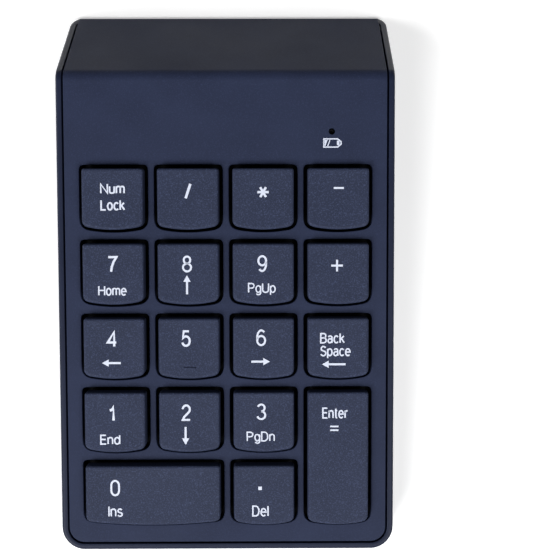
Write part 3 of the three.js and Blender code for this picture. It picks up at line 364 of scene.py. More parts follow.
def settled(made):
    """The mesh that an object's modifiers give; the object is removed."""
    bpy.context.view_layer.update()
    graph = bpy.context.evaluated_depsgraph_get()
    mesh = bpy.data.meshes.new_from_object(made.evaluated_get(graph))
    bpy.data.objects.remove(made)
    return mesh


def combined(base, operation, tools):
    """base with each tool joined to it or cut from it."""
    made = holder(base)
    others = [holder(tool) for tool in tools]
    for other in others:
        modifier = made.modifiers.new("combine", "BOOLEAN")
        modifier.operation = operation
        modifier.solver = "MANIFOLD"
        modifier.object = other
    mesh = settled(made)
    for other in others:
        bpy.data.objects.remove(other)
    return mesh


def cut(base, *tools):
    return combined(base, "DIFFERENCE", tools)


def joined(base, *tools):
    return combined(base, "UNION", tools)


def eased(mesh, width, segments=2, angle=50):
    """The mesh with its sharp edges rounded."""
    made = holder(mesh)
    modifier = made.modifiers.new("ease", "BEVEL")
    modifier.width = width
    modifier.segments = segments
    modifier.limit_method = "ANGLE"
    modifier.angle_limit = math.radians(angle)
    modifier.use_clamp_overlap = True
    return settled(made)


def together(*meshes):
    """Several closed meshes as one."""
    points, faces = [], []
    for mesh in meshes:
        start = len(points)
        points.extend(vertex.co.copy() for vertex in mesh.vertices)
        faces.extend([start + index for index in polygon.vertices] for polygon in mesh.polygons)
    return mesh_of(points, faces)


def moved(mesh, matrix):
    copy = mesh.copy()
    copy.transform(matrix)
    if matrix.determinant() < 0:
        copy.flip_normals()
    return copy


def loft(rings):
    """A closed skin over rings of points that all have the same count."""
    count = len(rings[0])
    faces = [tuple(range(count)), tuple(range((len(rings) - 1) * count, len(rings) * count))]
    for k in range(len(rings) - 1):
        low, high = k * count, (k + 1) * count
        for i in range(count):
            j = (i + 1) % count
            faces.append((low + i, low + j, high + j, high + i))
    return mesh_of([point for ring in rings for point in ring], faces)


def level(outline, z):
    return [(x, y, z) for x, y in outline]


def prism(outline, z0, z1):
    return loft([level(outline, z0), level(outline, z1)])


def block(x, y, z):
    return prism([(x[0], y[0]), (x[1], y[0]), (x[1], y[1]), (x[0], y[1])], *z)


def arc(x, y, rx, ry, start, end, steps=8):
    """Points on an ellipse, between two angles in degrees."""
    angles = [math.radians(start + (end - start) * i / steps) for i in range(steps + 1)]
    return [(x + rx * math.cos(a), y + ry * math.sin(a)) for a in angles]


def about(middle, half):
    """The two ends of a stretch of twice half, round its middle."""
    return middle - half, middle + half


def rounded(x, y, radius, steps=6):
    """A rectangle between two values of x and two of y, with round corners."""
    (x0, x1), (y0, y1) = x, y
    corners = [(x1, y0, -90), (x1, y1, 0), (x0, y1, 90), (x0, y0, 180)]
    points = []
    for cx, cy, start in corners:
        inward_x = cx - math.copysign(radius, cx - (x0 + x1) / 2)
        inward_y = cy - math.copysign(radius, cy - (y0 + y1) / 2)
        points += arc(inward_x, inward_y, radius, radius, start, start + 90, steps)
    return points


def turned(profile, sides=32):
    """A closed solid of revolution about Z, from points of radius and height off the axis."""
    angles = [2 * math.pi * i / sides for i in range(sides)]
    return loft([[(radius * math.cos(a), radius * math.sin(a), z) for a in angles]
                 for radius, z in profile])


def at(x, y, z=0):
    return Matrix.Translation((x, y, z))


def rod(radius, z, place, sides=28):
    return moved(turned([(radius, z[0]), (radius, z[1])], sides), at(*place))


def settled_copy(made):
    """The mesh that an object's modifiers give, with its corner normals."""
    bpy.context.view_layer.update()
    graph = bpy.context.evaluated_depsgraph_get()
    shown = made.evaluated_get(graph)
    mesh = bpy.data.meshes.new_from_object(shown, preserve_all_data_layers=True, depsgraph=graph)
    mesh.name = made.name
    return mesh


def piece(name, mesh, material, body, matrix=Matrix.Identity(4), replaces=(), sharp=32):
    """Finishes a mesh in millimetres as a piece in metres that rides on a body."""
    mesh = moved(mesh, Matrix.Scale(MM, 4) @ matrix)
    mesh.name = name
    mesh.materials.clear()
    mesh.materials.append(material)
    mesh.shade_smooth()
    mesh.set_sharp_from_angle(angle=math.radians(sharp))
    made = holder(mesh, name)
    weighted = made.modifiers.new("normals", "WEIGHTED_NORMAL")
    weighted.keep_sharp = True
    made.data = settled_copy(made)
    made.modifiers.clear()
    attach(made, body)
    if replaces:
        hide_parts(*replaces)
    return made


# ---- keycaps


def bezier(start, control, end, steps):
    """Points on a quadratic curve, without its last point."""
    points = []
    for i in range(steps):
        t = i / steps
        points.append(tuple((1 - t) ** 2 * a + 2 * t * (1 - t) * b + t * t * c
                            for a, b, c in zip(start, control, end)))
    return points


def straight(start, end, steps):
    return bezier(start, tuple((a + b) / 2 for a, b in zip(start, end)), end, steps)


def key_outline(size, extra, inset=0.0):
    """A key's outline: straight rear and sides, a front edge bowed outwards."""
    wide, tall = extra
    half = size["half"] + wide - inset
    rear = size["rear"] + tall - inset
    middle = size["front"] - tall + inset
    rear_radius = max(size["rear_radius"] - inset, 0.25)
    front_radius = max(size["front_radius"] - inset, 0.4)
    side = middle + size["bow"]
    end = half - front_radius
    rise = size["bow"] * (end / half) ** 2
    return [
        *straight((half, side + front_radius), (half, rear - rear_radius), 6),
        *bezier((half, rear - rear_radius), (half, rear), (half - rear_radius, rear), 5),
        *straight((half - rear_radius, rear), (-half + rear_radius, rear), 6),
        *bezier((-half + rear_radius, rear), (-half, rear), (-half, rear - rear_radius), 5),
        *straight((-half, rear - rear_radius), (-half, side + front_radius), 6),
        *bezier((-half, side + front_radius), (-half, side), (-end, middle + rise), 7),
        *bezier((-end, middle + rise), (0, middle - rise), (end, middle + rise), 12),
        *bezier((end, middle + rise), (half, side), (half, side + front_radius), 7),
    ]


def keycap(extra):
    """A keycap round its own centre: a hollow shell with a softly dished top, and its stem."""
    roof = CAP_TOP - CAP_ROOF
    corner, soft, draft = 0.3, 0.15, 0.05
    section = [(CAP_SHELL + corner, roof), (CAP_SHELL, roof - corner), (CAP_SHELL, CAP_SKIRT + soft),
               (CAP_SHELL - soft, CAP_SKIRT), (soft, CAP_SKIRT), (0.0, CAP_SKIRT + soft)]
    for angle in (0, 18, 36, 54, 72, 90):
        a = math.radians(angle)
        section.append((draft + CAP_EDGE * (1 - math.cos(a)), CAP_TOP - CAP_EDGE * (1 - math.sin(a))))
    rings = [level(key_outline(CAP, extra, inset), z) for inset, z in section]
    edge = key_outline(CAP, extra, draft + CAP_EDGE)
    for share in (0.97, 0.9, 0.75, 0.55, 0.3, 0.1):
        z = CAP_TOP - CAP_DISH * (1 - share**2)
        rings.append([(x * share, y * share, z) for x, y in edge])
    inside = roof + 0.4
    stem = eased(block(about(0, STEM / 2), about(0, STEM / 2), (STEM_FOOT, inside)), 0.3)
    ribs = []
    if extra != SINGLE:
        for end in (-CAP_RIB["at"], CAP_RIB["at"]):
            along, aside, height = about(end, CAP_RIB["half"]), CAP_RIB["aside"], (CAP_SKIRT - 0.1, inside)
            ribs.append(block(along, aside, height) if extra == WIDE else block(aside, along, height))
    return together(loft(rings), stem, *ribs)


def key_place(name):
    column, row, _ = KEYS[name]
    return DECK @ at((column - 1.5) * PITCH, -row * PITCH)


def homing_bar():
    """The short ridge on the 5 key's top, near its front edge."""
    half_width, half_depth = 1.5, 0.32
    rings = []
    for inset, z in ((0.0, -0.2), (0.0, 0.06), (0.07, 0.2), (0.16, 0.25)):
        x, y = about(0, half_width - inset), about(0, half_depth - inset)
        rings.append(level(rounded(x, y, half_depth - 0.01 - inset), z))
    return moved(loft(rings), at(0.2, -4.8, CAP_TOP - CAP_DISH * 0.6))


def make_keycaps():
    shapes = {extra: keycap(extra) for extra in (SINGLE, WIDE, TALL)}
    for name, (_, _, extra) in KEYS.items():
        shape = together(shapes[extra], homing_bar()) if name == "5" else shapes[extra]
        piece("keycap_" + name, shape, KEY_PLASTIC, "key_" + name, key_place(name),
              replaces=["key_" + name])
    return shapes


CAP_SHAPES = make_keycaps()

# ---- rubber domes


def dome():
    """The hollow rubber dome under a key, with the patch of sheet it stands on."""
    bottom, sheet_top = SHEET["z"]
    top, foot = DOME["z"], DOME["foot"]
    outer = turned([(foot, bottom), (foot, sheet_top), (foot - 0.2, sheet_top + 0.1),
                    (DOME["top"] + 0.15, top - 0.2), (DOME["top"] - 0.05, top)])
    hollow = turned([(DOME["hollow_foot"], bottom - 1), (DOME["hollow_foot"], sheet_top),
                     (DOME["hollow_top"], top - DOME["roof"])])
    return cut(outer, hollow)


def make_domes():
    """The sheet, with a dome under each key; each dome has a mesh of its own."""
    shape = dome()
    holes = []
    for name in KEYS:
        place = key_place(name)
        foot = DECK.inverted() @ place.translation
        holes.append(rod(DOME["foot"] + 0.02, (-9, -5), foot.xy))
        made = piece("dome_" + name, shape, SILICONE, "base", place)
        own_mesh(made)
    sheet = cut(prism(rounded(SHEET["x"], SHEET["y"], SHEET["radius"]), *SHEET["z"]), *holes)
    piece("rubber_sheet", sheet, SILICONE, "base", DECK, replaces=["dome_sheet"])


make_domes()

# ---- legends

# A plain single-line alphabet. Each sign is its width and its strokes, for a capital height of 1.
BOWL = arc(0.23, 0.37, 0.23, 0.37, 0, 360, 20)
SIGNS = {
    "0": (0.52, [arc(0.26, 0.66, 0.26, 0.34, 0, 180, 12) + arc(0.26, 0.34, 0.26, 0.34, 180, 360, 12)
                 + [(0.52, 0.66)]]),
    "1": (0.30, [[(0.0, 0.76), (0.15, 0.8), (0.25, 0.9), (0.28, 1.0), (0.28, 0.0)]]),
    "2": (0.54, [arc(0.27, 0.72, 0.25, 0.28, 175, -30, 14)
                 + [(0.36, 0.44), (0.12, 0.2), (0.02, 0.0), (0.54, 0.0)]]),
    "3": (0.52, [arc(0.26, 0.765, 0.22, 0.235, 160, -90, 14), arc(0.26, 0.265, 0.26, 0.265, 90, -165, 14)]),
    "4": (0.58, [[(0.58, 0.28), (0.0, 0.28), (0.44, 1.0), (0.44, 0.0)]]),
    "5": (0.52, [[(0.47, 1.0), (0.12, 1.0)] + arc(0.26, 0.325, 0.26, 0.325, 142, -162, 16)]),
    "6": (0.52, [arc(0.28, 0.5, 0.26, 0.5, 48, 190, 12), arc(0.27, 0.31, 0.25, 0.31, 0, 360, 20)]),
    "7": (0.52, [[(0.0, 1.0), (0.52, 1.0), (0.34, 0.68), (0.22, 0.34), (0.17, 0.0)]]),
    "8": (0.52, [arc(0.26, 0.765, 0.21, 0.235, 0, 360, 18), arc(0.26, 0.265, 0.26, 0.265, 0, 360, 20)]),
    "9": (0.52, [arc(0.24, 0.5, 0.26, 0.5, 10, -132, 12), arc(0.25, 0.69, 0.25, 0.31, 0, 360, 20)]),
    "N": (0.60, [[(0, 0), (0, 1), (0.6, 0), (0.6, 1)]]),
    "L": (0.46, [[(0, 1), (0, 0), (0.46, 0)]]),
    "H": (0.60, [[(0, 0), (0, 1)], [(0.6, 0), (0.6, 1)], [(0, 0.53), (0.6, 0.53)]]),
    "P": (0.54, [[(0, 0), (0, 1), (0.3, 1)] + arc(0.3, 0.74, 0.24, 0.26, 80, -90) + [(0, 0.48)]]),
    "U": (0.58, [[(0, 1)] + arc(0.29, 0.28, 0.29, 0.28, 180, 360, 12) + [(0.58, 1)]]),
    "B": (0.56, [[(0, 0.53), (0, 1), (0.3, 1)] + arc(0.3, 0.765, 0.22, 0.235, 80, -90) + [(0, 0.53)],
                 [(0, 0.53), (0, 0), (0.3, 0)] + arc(0.3, 0.265, 0.26, 0.265, -80, 90)]),
    "S": (0.52, [arc(0.27, 0.755, 0.23, 0.245, 20, 225, 12) + arc(0.26, 0.26, 0.26, 0.26, 45, -160, 12)]),
    "E": (0.48, [[(0.48, 1), (0, 1), (0, 0), (0.5, 0)], [(0, 0.53), (0.45, 0.53)]]),
    "D": (0.58, [[(0, 0), (0, 1), (0.26, 1)] + arc(0.26, 0.5, 0.32, 0.5, 80, -80, 12)
                 + [(0.26, 0), (0, 0)]]),
    "I": (0.0, [[(0, 0), (0, 1)]]),
    "a": (0.42, [arc(0.21, 0.55, 0.19, 0.19, 160, 0, 8) + [(0.41, 0)],
                 [(0.4, 0.42)] + arc(0.18, 0.21, 0.18, 0.21, 90, 280, 10) + [(0.4, 0.16)]]),
    "c": (0.42, [arc(0.23, 0.37, 0.23, 0.37, 42, 318, 14)]),
    "d": (0.46, [BOWL, [(0.46, 0), (0.46, 1)]]),
    "e": (0.46, [[(0.02, 0.39), (0.46, 0.39)] + arc(0.23, 0.37, 0.23, 0.37, 12, 318, 16)]),
    "g": (0.46, [BOWL, [(0.46, 0.74), (0.46, -0.05)] + arc(0.24, -0.05, 0.22, 0.21, -10, -155, 8)]),
    "k": (0.42, [[(0, 0), (0, 1)], [(0.38, 0.74), (0.0, 0.3)], [(0.14, 0.45), (0.42, 0)]]),
    "l": (0.0, [[(0, 0), (0, 1)]]),
    "m": (0.70, [[(0, 0), (0, 0.74)], arc(0.175, 0.55, 0.175, 0.19, 180, 0, 8) + [(0.35, 0)],
                 arc(0.525, 0.55, 0.175, 0.19, 180, 0, 8) + [(0.7, 0)]]),
    "n": (0.42, [[(0, 0), (0, 0.74)], arc(0.21, 0.53, 0.21, 0.21, 180, 0, 8) + [(0.42, 0)]]),
    "o": (0.46, [BOWL]),
    "p": (0.46, [BOWL, [(0, 0.74), (0, -0.27)]]),
    "r": (0.26, [[(0, 0), (0, 0.74)], arc(0.22, 0.5, 0.22, 0.23, 180, 75, 6)]),
    "s": (0.40, [arc(0.2, 0.555, 0.18, 0.185, 22, 225, 10) + arc(0.2, 0.19, 0.2, 0.19, 45, -158, 10)]),
    "t": (0.24, [[(0.1, 0.95), (0.1, 0.12), (0.15, 0.02), (0.25, 0.0)], [(0, 0.74), (0.24, 0.74)]]),
    "u": (0.42, [[(0, 0.74)] + arc(0.21, 0.21, 0.21, 0.21, 180, 360, 8), [(0.42, 0.74), (0.42, 0)]]),
}
SIGN_GAP = 0.2
WORD_STROKE = 0.35
DIGIT_STROKE = 0.47
BOLD_STROKE = 0.55
INK_RISE = 0.03  # height of the print above the plastic


def word(text, x, y, width, height, stroke=WORD_STROKE):
    """A word's strokes, centred on x with its capitals' centre at y, drawn to a width and a height."""
    strokes, reach = [], 0.0
    for sign in text:
        sign_width, lines = SIGNS[sign]
        strokes += [[(px + reach, py) for px, py in line] for line in lines]
        reach += sign_width + SIGN_GAP
    natural = reach - SIGN_GAP
    tall = height - stroke
    across = (width - stroke) / natural if natural else tall
    left = x - (width - stroke) / 2 if natural else x
    foot = y - tall / 2
    return [([(left + px * across, foot + py * tall) for px, py in line], stroke) for line in strokes]


def digit(sign, x, y, width=2.4, height=4.05, stroke=DIGIT_STROKE):
    return word(sign, x, y, width, height, stroke)


def bar(x0, y0, x1, y1, stroke):
    return ([(x0, y0), (x1, y1)], stroke)


def arrow(x, y, length, angle):
    """An arrow centred on x, y: a slender shaft as a stroke, and a filled head."""
    shaft, head, half = 0.5, 1.6, 0.88
    turn = Matrix.Rotation(math.radians(angle), 2)

    def at(along, aside):
        return tuple(Vector((x, y)) + turn @ Vector((along, aside)))

    tail = ([at(-length / 2, 0), at(length / 2 - head + 0.2, 0)], shaft)
    point = [at(length / 2 - head, -half), at(length / 2, 0), at(length / 2 - head, half)]
    return [tail, (point, None)]


def star(x, y, reach, stroke):
    """An asterisk of three crossing bars."""
    ways = [(math.cos(a) * reach, math.sin(a) * reach) for a in (0, math.pi / 3, -math.pi / 3)]
    return [bar(x - dx, y - dy, x + dx, y + dy, stroke) for dx, dy in ways]


# What each key says, in millimetres from the centre of its cap's first unit.
LEGENDS = {
    "num_lock": word("Num", 0.07, 2.5, 5.95, 2.55, 0.4) + word("Lock", 0.1, -1.42, 5.95, 2.65, 0.4),
    "divide": [bar(-0.5, 0.17, 0.65, 3.6, 0.62)],
    "multiply": star(0.0, 1.6, 1.35, 0.55),
    "subtract": [bar(-1.12, 2.55, 1.3, 2.55, 0.46)],
    "7": digit("7", -0.16, 2.4, 2.5, stroke=BOLD_STROKE) + word("Home", -0.24, -3.92, 6.85, 2.5),
    "8": digit("8", -0.29, 2.45) + arrow(-0.33, -2.55, 4.6, 90),
    "9": digit("9", -0.22, 2.5) + word("PgUp", -0.36, -3.35, 6.7, 2.45, 0.32),
    "add": [bar(-1.7, 1.98, 1.1, 1.98, 0.48), bar(-0.3, 0.58, -0.3, 3.38, 0.48)],
    "4": digit("4", -0.5, 2.32, 2.6, stroke=BOLD_STROKE) + arrow(-0.7, -3.46, 4.5, 180),
    "5": digit("5", -0.7, 2.45, 2.35, stroke=0.52),
    "6": digit("6", -0.6, 2.6, 2.45) + arrow(-0.72, -3.2, 4.5, 0),
    "backspace": word("Back", -1.38, 2.45, 6.0, 2.6) + word("Space", -0.66, -0.68, 7.4, 2.6)
    + arrow(-1.05, -3.9, 5.7, 180),
    "1": digit("1", -0.77, 2.15, 1.55, 3.85, 0.62) + word("End", -1.22, -4.17, 4.9, 2.5),
    "2": digit("2", -0.75, 2.4, 2.35, stroke=0.5) + arrow(-0.95, -3.3, 4.4, -90),
    "3": digit("3", -0.6, 2.55, 2.4) + word("PgDn", -0.76, -3.52, 6.85, 2.45, 0.32),
    "enter": word("Enter", -0.7, 11.2, 6.3, 2.75) + [bar(-1.9, y, 0.1, y, 0.38) for y in (7.9, 6.98)],
    "0": digit("0", -9.18, 1.9, 2.35) + word("Ins", -9.15, -3.88, 3.55, 2.75),
    "decimal": [bar(-1.38, 1.7, -0.53, 1.7, 0.85)] + word("Del", -0.88, -3.9, 4.05, 2.75),
}


def ribbon(line, width, rise):
    """A flat stroke of ink along a line, closed all round, with square ends and mitred corners."""
    points = [Vector(point) for point in line]
    closed = (points[0] - points[-1]).length < 1e-6
    if closed:
        points.pop()
    count = len(points)
    rings = []
    for i, point in enumerate(points):
        before = points[i - 1] if closed or i > 0 else None
        after = points[(i + 1) % count] if closed or i < count - 1 else None
        ways = [point - before] if before else []
        ways += [after - point] if after else []
        sides = [Vector((-way.y, way.x)) for way in (way.normalized() for way in ways)]
        mean = sum(sides, Vector((0, 0))).normalized()
        reach = width / 2 / max(mean.dot(sides[0]), 0.5)
        a, b = point + mean * reach, point - mean * reach
        rings.append([(*a, 0), (*b, 0), (*b, rise), (*a, rise)])
    faces = []
    for k in range(count if closed else count - 1):
        low, high = 4 * k, 4 * ((k + 1) % count)
        for i in range(4):
            j = (i + 1) % 4
            faces.append((low + i, low + j, high + j, high + i))
    if not closed:
        faces += [(0, 1, 2, 3), tuple(4 * count - 4 + i for i in range(4))]
    return mesh_of([corner for ring in rings for corner in ring], faces)


def print_of(marks):
    """The mesh of a list of strokes and filled outlines."""
    shapes = []
    for line, width in marks:
        shapes.append(prism(line, 0, INK_RISE) if width is None else ribbon(line, width, INK_RISE))
    return together(*shapes)


def laid_on(mesh, surface):
    """The flat print, laid on the surface below it."""
    points = [vertex.co for vertex in surface.vertices]
    tree = BVHTree.FromPolygons(points, [tuple(polygon.vertices) for polygon in surface.polygons])
    for vertex in mesh.vertices:
        x, y, rise = vertex.co
        hit, _, _, _ = tree.ray_cast(Vector((x, y, CAP_TOP + 5)), Vector((0, 0, -1)))
        vertex.co.z = hit.z + rise - INK_RISE / 3
    return mesh


def make_legends():
    for name, marks in LEGENDS.items():
        shape = laid_on(print_of(marks), CAP_SHAPES[KEYS[name][2]])
        piece("legend_" + name, shape, INK, "key_" + name, key_place(name))


make_legends()

# ---- top cover


def upper(y):
    """Height of the keypad's surface at y: deck, round fold, slanting rear face."""
    start = FOLD_CENTRE.y - FOLD_RADIUS * math.sin(SLOPE)
    end = FOLD_CENTRE.y + FOLD_RADIUS * math.sin(REAR_SLOPE)
    if y <= start:
        return ROW_1[1] + (y - ROW_1[0]) * math.tan(SLOPE)
    if y < end:
        return FOLD_CENTRE.z + math.sqrt(FOLD_RADIUS**2 - (y - FOLD_CENTRE.y) ** 2)
    return REAR_FOOT_Z + (DEPTH / 2 - y) * math.tan(REAR_SLOPE)


def folded(u, s, n):
    """Where a point of the flat sheet goes: s runs up the deck, round the fold and down the rear face."""
    start = FOLD_V - FOLD_TANGENT
    around = min(max((s - start) / FOLD_RADIUS, 0), TURN)
    angle = math.pi / 2 + SLOPE - around
    out = Vector((0, math.cos(angle), math.sin(angle)))
    along = Vector((0, out.z, -out.y))
    spare = s - start - around * FOLD_RADIUS
    return FOLD_CENTRE + Vector((u, 0, 0)) + out * (FOLD_RADIUS + n) + along * spare


def plate_with_holes(outer, holes, thickness):
    """A flat plate with soft top edges. outer and holes are functions of how far an edge is drawn back."""
    shape = bmesh.new()
    tops, bottoms = [], []
    steps = [(COVER_EDGE * (1 - math.cos(a)), -COVER_EDGE * (1 - math.sin(a)))
             for a in (math.radians(angle) for angle in (90, 60, 30, 0))]
    for outline in [outer, *holes]:
        rings = [[shape.verts.new((x, y, z)) for x, y in outline(back)] for back, z in steps]
        rings.append([shape.verts.new((x, y, -thickness)) for x, y in outline(0)])
        count = len(rings[0])
        for low, high in zip(rings, rings[1:]):
            for i in range(count):
                j = (i + 1) % count
                shape.faces.new((low[i], low[j], high[j], high[i]))
        for ring, edges in ((rings[0], tops), (rings[-1], bottoms)):
            edges += [shape.edges.get((ring[i], ring[(i + 1) % count])) for i in range(count)]
    bmesh.ops.triangle_fill(shape, use_beauty=True, edges=tops)
    bmesh.ops.triangle_fill(shape, use_beauty=True, edges=bottoms)
    return shape


def cover_outline(back):
    """The cover's flat outline, its rear edge well past the foot of the rear face."""
    inset = WALL + GROOVE + back
    half, front = WIDTH / 2 - inset, -DEPTH / 2 + inset
    v_front = (front - ROW_1[0]) / math.cos(SLOPE)
    radius = FRONT_CORNER - inset
    far = 64.0 - back
    return [
        (half, far),
        (-half, far),
        *arc(-half + radius, v_front + radius, radius, radius, 180, 270, 10),
        *arc(half - radius, v_front + radius, radius, radius, 270, 360, 10),
    ]


def top_cover():
    """The bent plate with its eighteen openings and the lamp hole."""
    def opening(name):
        column, row, extra = KEYS[name]
        u, v = (column - 1.5) * PITCH, -row * PITCH

        def outline(back):
            return [(u + x, v + y) for x, y in key_outline(OPENING, extra, -back)]

        return outline

    def lamp_hole(back):
        radius = 0.75 + back * 0.6
        return arc(*LAMP, radius, radius, 0, 345, 23)

    shape = plate_with_holes(cover_outline, [*map(opening, KEYS), lamp_hole], COVER)
    start = FOLD_V - FOLD_TANGENT
    bends = 12
    for i in range(bends + 1):
        parts = [*shape.verts, *shape.edges, *shape.faces]
        bmesh.ops.bisect_plane(shape, geom=parts, dist=1e-5, plane_no=(0, 1, 0),
                               plane_co=(0, start + FOLD_RADIUS * TURN * i / bends, 0))
    for vertex in shape.verts:
        vertex.co = folded(*vertex.co)
    parts = [*shape.verts, *shape.edges, *shape.faces]
    trimmed = bmesh.ops.bisect_plane(shape, geom=parts, dist=1e-5, plane_co=(0, 0, REAR_FOOT_Z),
                                     plane_no=(0, 0, 1), clear_inner=True)
    rim = [part for part in trimmed["geom_cut"] if isinstance(part, bmesh.types.BMEdge)]
    bmesh.ops.contextual_create(shape, geom=rim)
    bmesh.ops.recalc_face_normals(shape, faces=shape.faces)
    mesh = bpy.data.meshes.new("cover")
    shape.to_mesh(mesh)
    shape.free()
    return mesh


def cover_boss(x, y):
    """A post under the cover for a case screw, with its pilot hole."""
    inward = COVER / 2 / math.cos(REAR_SLOPE if y > FOLD.y else SLOPE)
    hole = SCREW["seat"] + SCREW["length"] + 0.8
    tip = 30.0
    shank = SCREW["shank"]
    profile = [(0.2, hole), (shank, hole), (shank, 4.5), (1.3, 4.3), (2.0, 4.3), (2.2, 4.5), (2.2, tip)]
    post = moved(turned(profile, 24), at(x, y))
    for vertex in post.vertices:
        if vertex.co.z == tip:
            vertex.co.z = upper(vertex.co.y) - inward
    return post


def make_cover():
    bosses = [cover_boss(x, y) for x, y in SCREW_PLACES.values()]
    piece("cover_plate", together(top_cover(), *bosses), COVER_PLASTIC, "base", replaces=["top_cover"])


make_cover()


def make_battery_sign():
    """The printed battery beside the lamp: an outline that tapers to its nub, part filled on a slant."""
    left, shoulder, nose = -1.95, 1.35, 2.2
    tall, low, high = 0.98, -0.72, 0.72
    outline = [(left, -tall), (shoulder, -tall), (nose, -0.3), (nose, 0.3), (shoulder, tall), (left, tall),
               (left, -tall)]
    fill = [(left, low), (-1.55, low), (-1.05, high), (left, high)]
    marks = [(outline, 0.3), (fill, None)]
    marks += [bar(-1.0, low, -0.5, high, 0.24), bar(1.5, -0.55, 1.5, 0.55, 0.6)]
    shape = moved(print_of(marks), at(*BATTERY_SIGN))
    piece("battery_sign", shape, INK, "base", DECK @ at(0, 0, -INK_RISE / 3))


make_battery_sign()

# ---- bottom case


def wall_path():
    """Points round the case with their outward directions, from one rear corner to the other."""
    side, rear, front = WIDTH / 2, DEPTH / 2, -DEPTH / 2
    stations = [60.0, 56.0, 52.5]
    stations += [FOLD_CENTRE.y + FOLD_RADIUS * math.sin(-SLOPE + TURN * i / 10) for i in range(10, -1, -1)]
    stations += [30.0, 0.0, -30.0]
    right = []
    for angle in range(90, -1, -10):
        a = math.radians(angle)
        right.append((side - REAR_CORNER * (1 - math.cos(a)), rear - REAR_CORNER * (1 - math.sin(a)),
                      math.cos(a), math.sin(a)))
    right += [(side, y, 1.0, 0.0) for y in stations]
    for angle in range(0, -91, -9):
        a = math.radians(angle)
        right.append((side - FRONT_CORNER * (1 - math.cos(a)), front + FRONT_CORNER * (1 + math.sin(a)),
                      math.cos(a), math.sin(a)))
    return right + [(-x, y, -nx, ny) for x, y, nx, ny in reversed(right)]


def case_wall():
    """The wall that shows as a rim round the cover: soft outer edges above and below."""
    # Distance in from the outside, and height above the underside or, where it is negative, below the top.
    section = [(0.75, 0.0), (0.4, 0.03), (0.12, 0.2), (0.0, 0.5), (0.0, -0.85), (0.06, -0.5), (0.22, -0.2),
               (0.48, -0.04), (0.75, -0.001), (1.25, -0.001), (1.43, -0.06), (WALL, -0.22), (WALL, 0.0)]
    rings = []
    for x, y, nx, ny in wall_path():
        ring = []
        for back, height in section:
            px, py = x - nx * back, y - ny * back
            top = upper(py)
            squeeze = min(1.0, (top - UNDERSIDE) / 3)
            base = top if height < 0 else UNDERSIDE
            ring.append((px, py, base + height * squeeze))
        rings.append(ring)
    return loft(rings)


def pocket(box):
    """The walls and roof of a pocket that opens downwards."""
    x, y = [(a - box["wall"], b + box["wall"]) for a, b in (box["x"], box["y"])]
    return block(x, y, (UNDERSIDE + 0.01, box["top"] + box["wall"]))


def case_floor():
    """The floor between the walls, its rear edge slanting with the cover."""
    inset = WALL - 0.05
    side, front, rear = WIDTH / 2 - inset, -DEPTH / 2 + inset, DEPTH / 2
    radius = FRONT_CORNER - inset
    clear = (COVER + 0.3) / math.sin(REAR_SLOPE)
    rings = []
    for z in (UNDERSIDE, FLOOR_TOP):
        back = rear - clear - (z - REAR_FOOT_Z) / math.tan(REAR_SLOPE)
        rings.append(level([(side, back), (-side, back),
                            *arc(-side + radius, front + radius, radius, radius, 180, 270, 10),
                            *arc(side - radius, front + radius, radius, radius, 270, 360, 10)], z))
    return loft(rings)


def grown(x, y, by):
    return (x[0] - by, x[1] + by), (y[0] - by, y[1] + by)


def case_recesses():
    """Everything that is cut out of the underside, each tool starting well below it."""
    below = -1
    tools = []
    for x, y in SCREW_PLACES.values():
        tools.append(rod(SCREW["head"] + 0.3, (below, SCREW["seat"]), (x, y)))
        tools.append(rod(SCREW["shank"] + 0.15, (0, 10), (x, y), 18))
    for x, y in FOOT_PLACES.values():
        half_width, half_depth = FOOT["width"] / 2 + 0.15, FOOT["depth"] / 2 + 0.15
        outline = rounded(about(x, half_width), about(y, half_depth), FOOT["radius"])
        tools.append(prism(outline, below, UNDERSIDE + FOOT["recess"]))
    label = rounded(*grown(LABEL["x"], LABEL["y"], 0.4), 1.4)
    tools.append(prism(label, below, UNDERSIDE + LABEL["recess"]))
    off, on = SWITCH["x"], SWITCH["x"] + SWITCH["travel"]
    for beside, across, radius, top in ((2.1, 1.7, 0.3, 5), (4, 3.2, 2.0, UNDERSIDE + 0.6)):
        outline = rounded((off - beside, on + beside), about(SWITCH["y"], across), radius)
        tools.append(prism(outline, below, top))
    rear = BAY["y"][1]
    thumb_notch = rounded(about(sum(BAY["x"]) / 2, 5), (rear - 3, rear + 3.4), 1.5)
    tools.append(prism(thumb_notch, below, UNDERSIDE + 0.8))
    front = GARAGE["y"][0]
    tools.append(prism(rounded(about(RECEIVER[0], 4), (front - 4, front + 3), 1.2), below, 3.8))
    for box in (BAY, GARAGE):
        tools.append(block(box["x"], box["y"], (below, box["top"])))
    hook_y = (BAY["y"][0] - BAY["wall"] - 0.3, BAY["y"][0] + 0.3)
    tools += [block(about(x, 2.6), hook_y, (FLOOR_TOP, 5.4)) for x in HOOKS]
    return tools


def make_case():
    front, sunk = GARAGE["y"][0], UNDERSIDE + 0.4
    adds = [pocket(BAY), pocket(GARAGE)]
    adds.append(block(about(RECEIVER[0], 5.2), (front - 5.2, front), (UNDERSIDE + 0.01, 5)))
    adds += [rod(POST_RADIUS["screw"], (sunk, 4.0), place) for place in SCREW_PLACES.values()]
    adds += [rod(POST_RADIUS["board"], (sunk, BOARD_BOTTOM - 0.1), place) for place in BOARD_POSTS]
    for y in FLOOR_RIBS["y"]:
        height = (sunk, upper(y) - FLOOR_RIBS["below"])
        adds.append(block(FLOOR_RIBS["x"], about(y, FLOOR_RIBS["half"]), height))
    solid = cut(joined(case_wall(), case_floor(), *adds), *case_recesses())
    piece("case_shell", solid, CASE_PLASTIC, "base", replaces=["bottom_case"])


make_case()

# ---- underside: door, feet, screws, label, switch


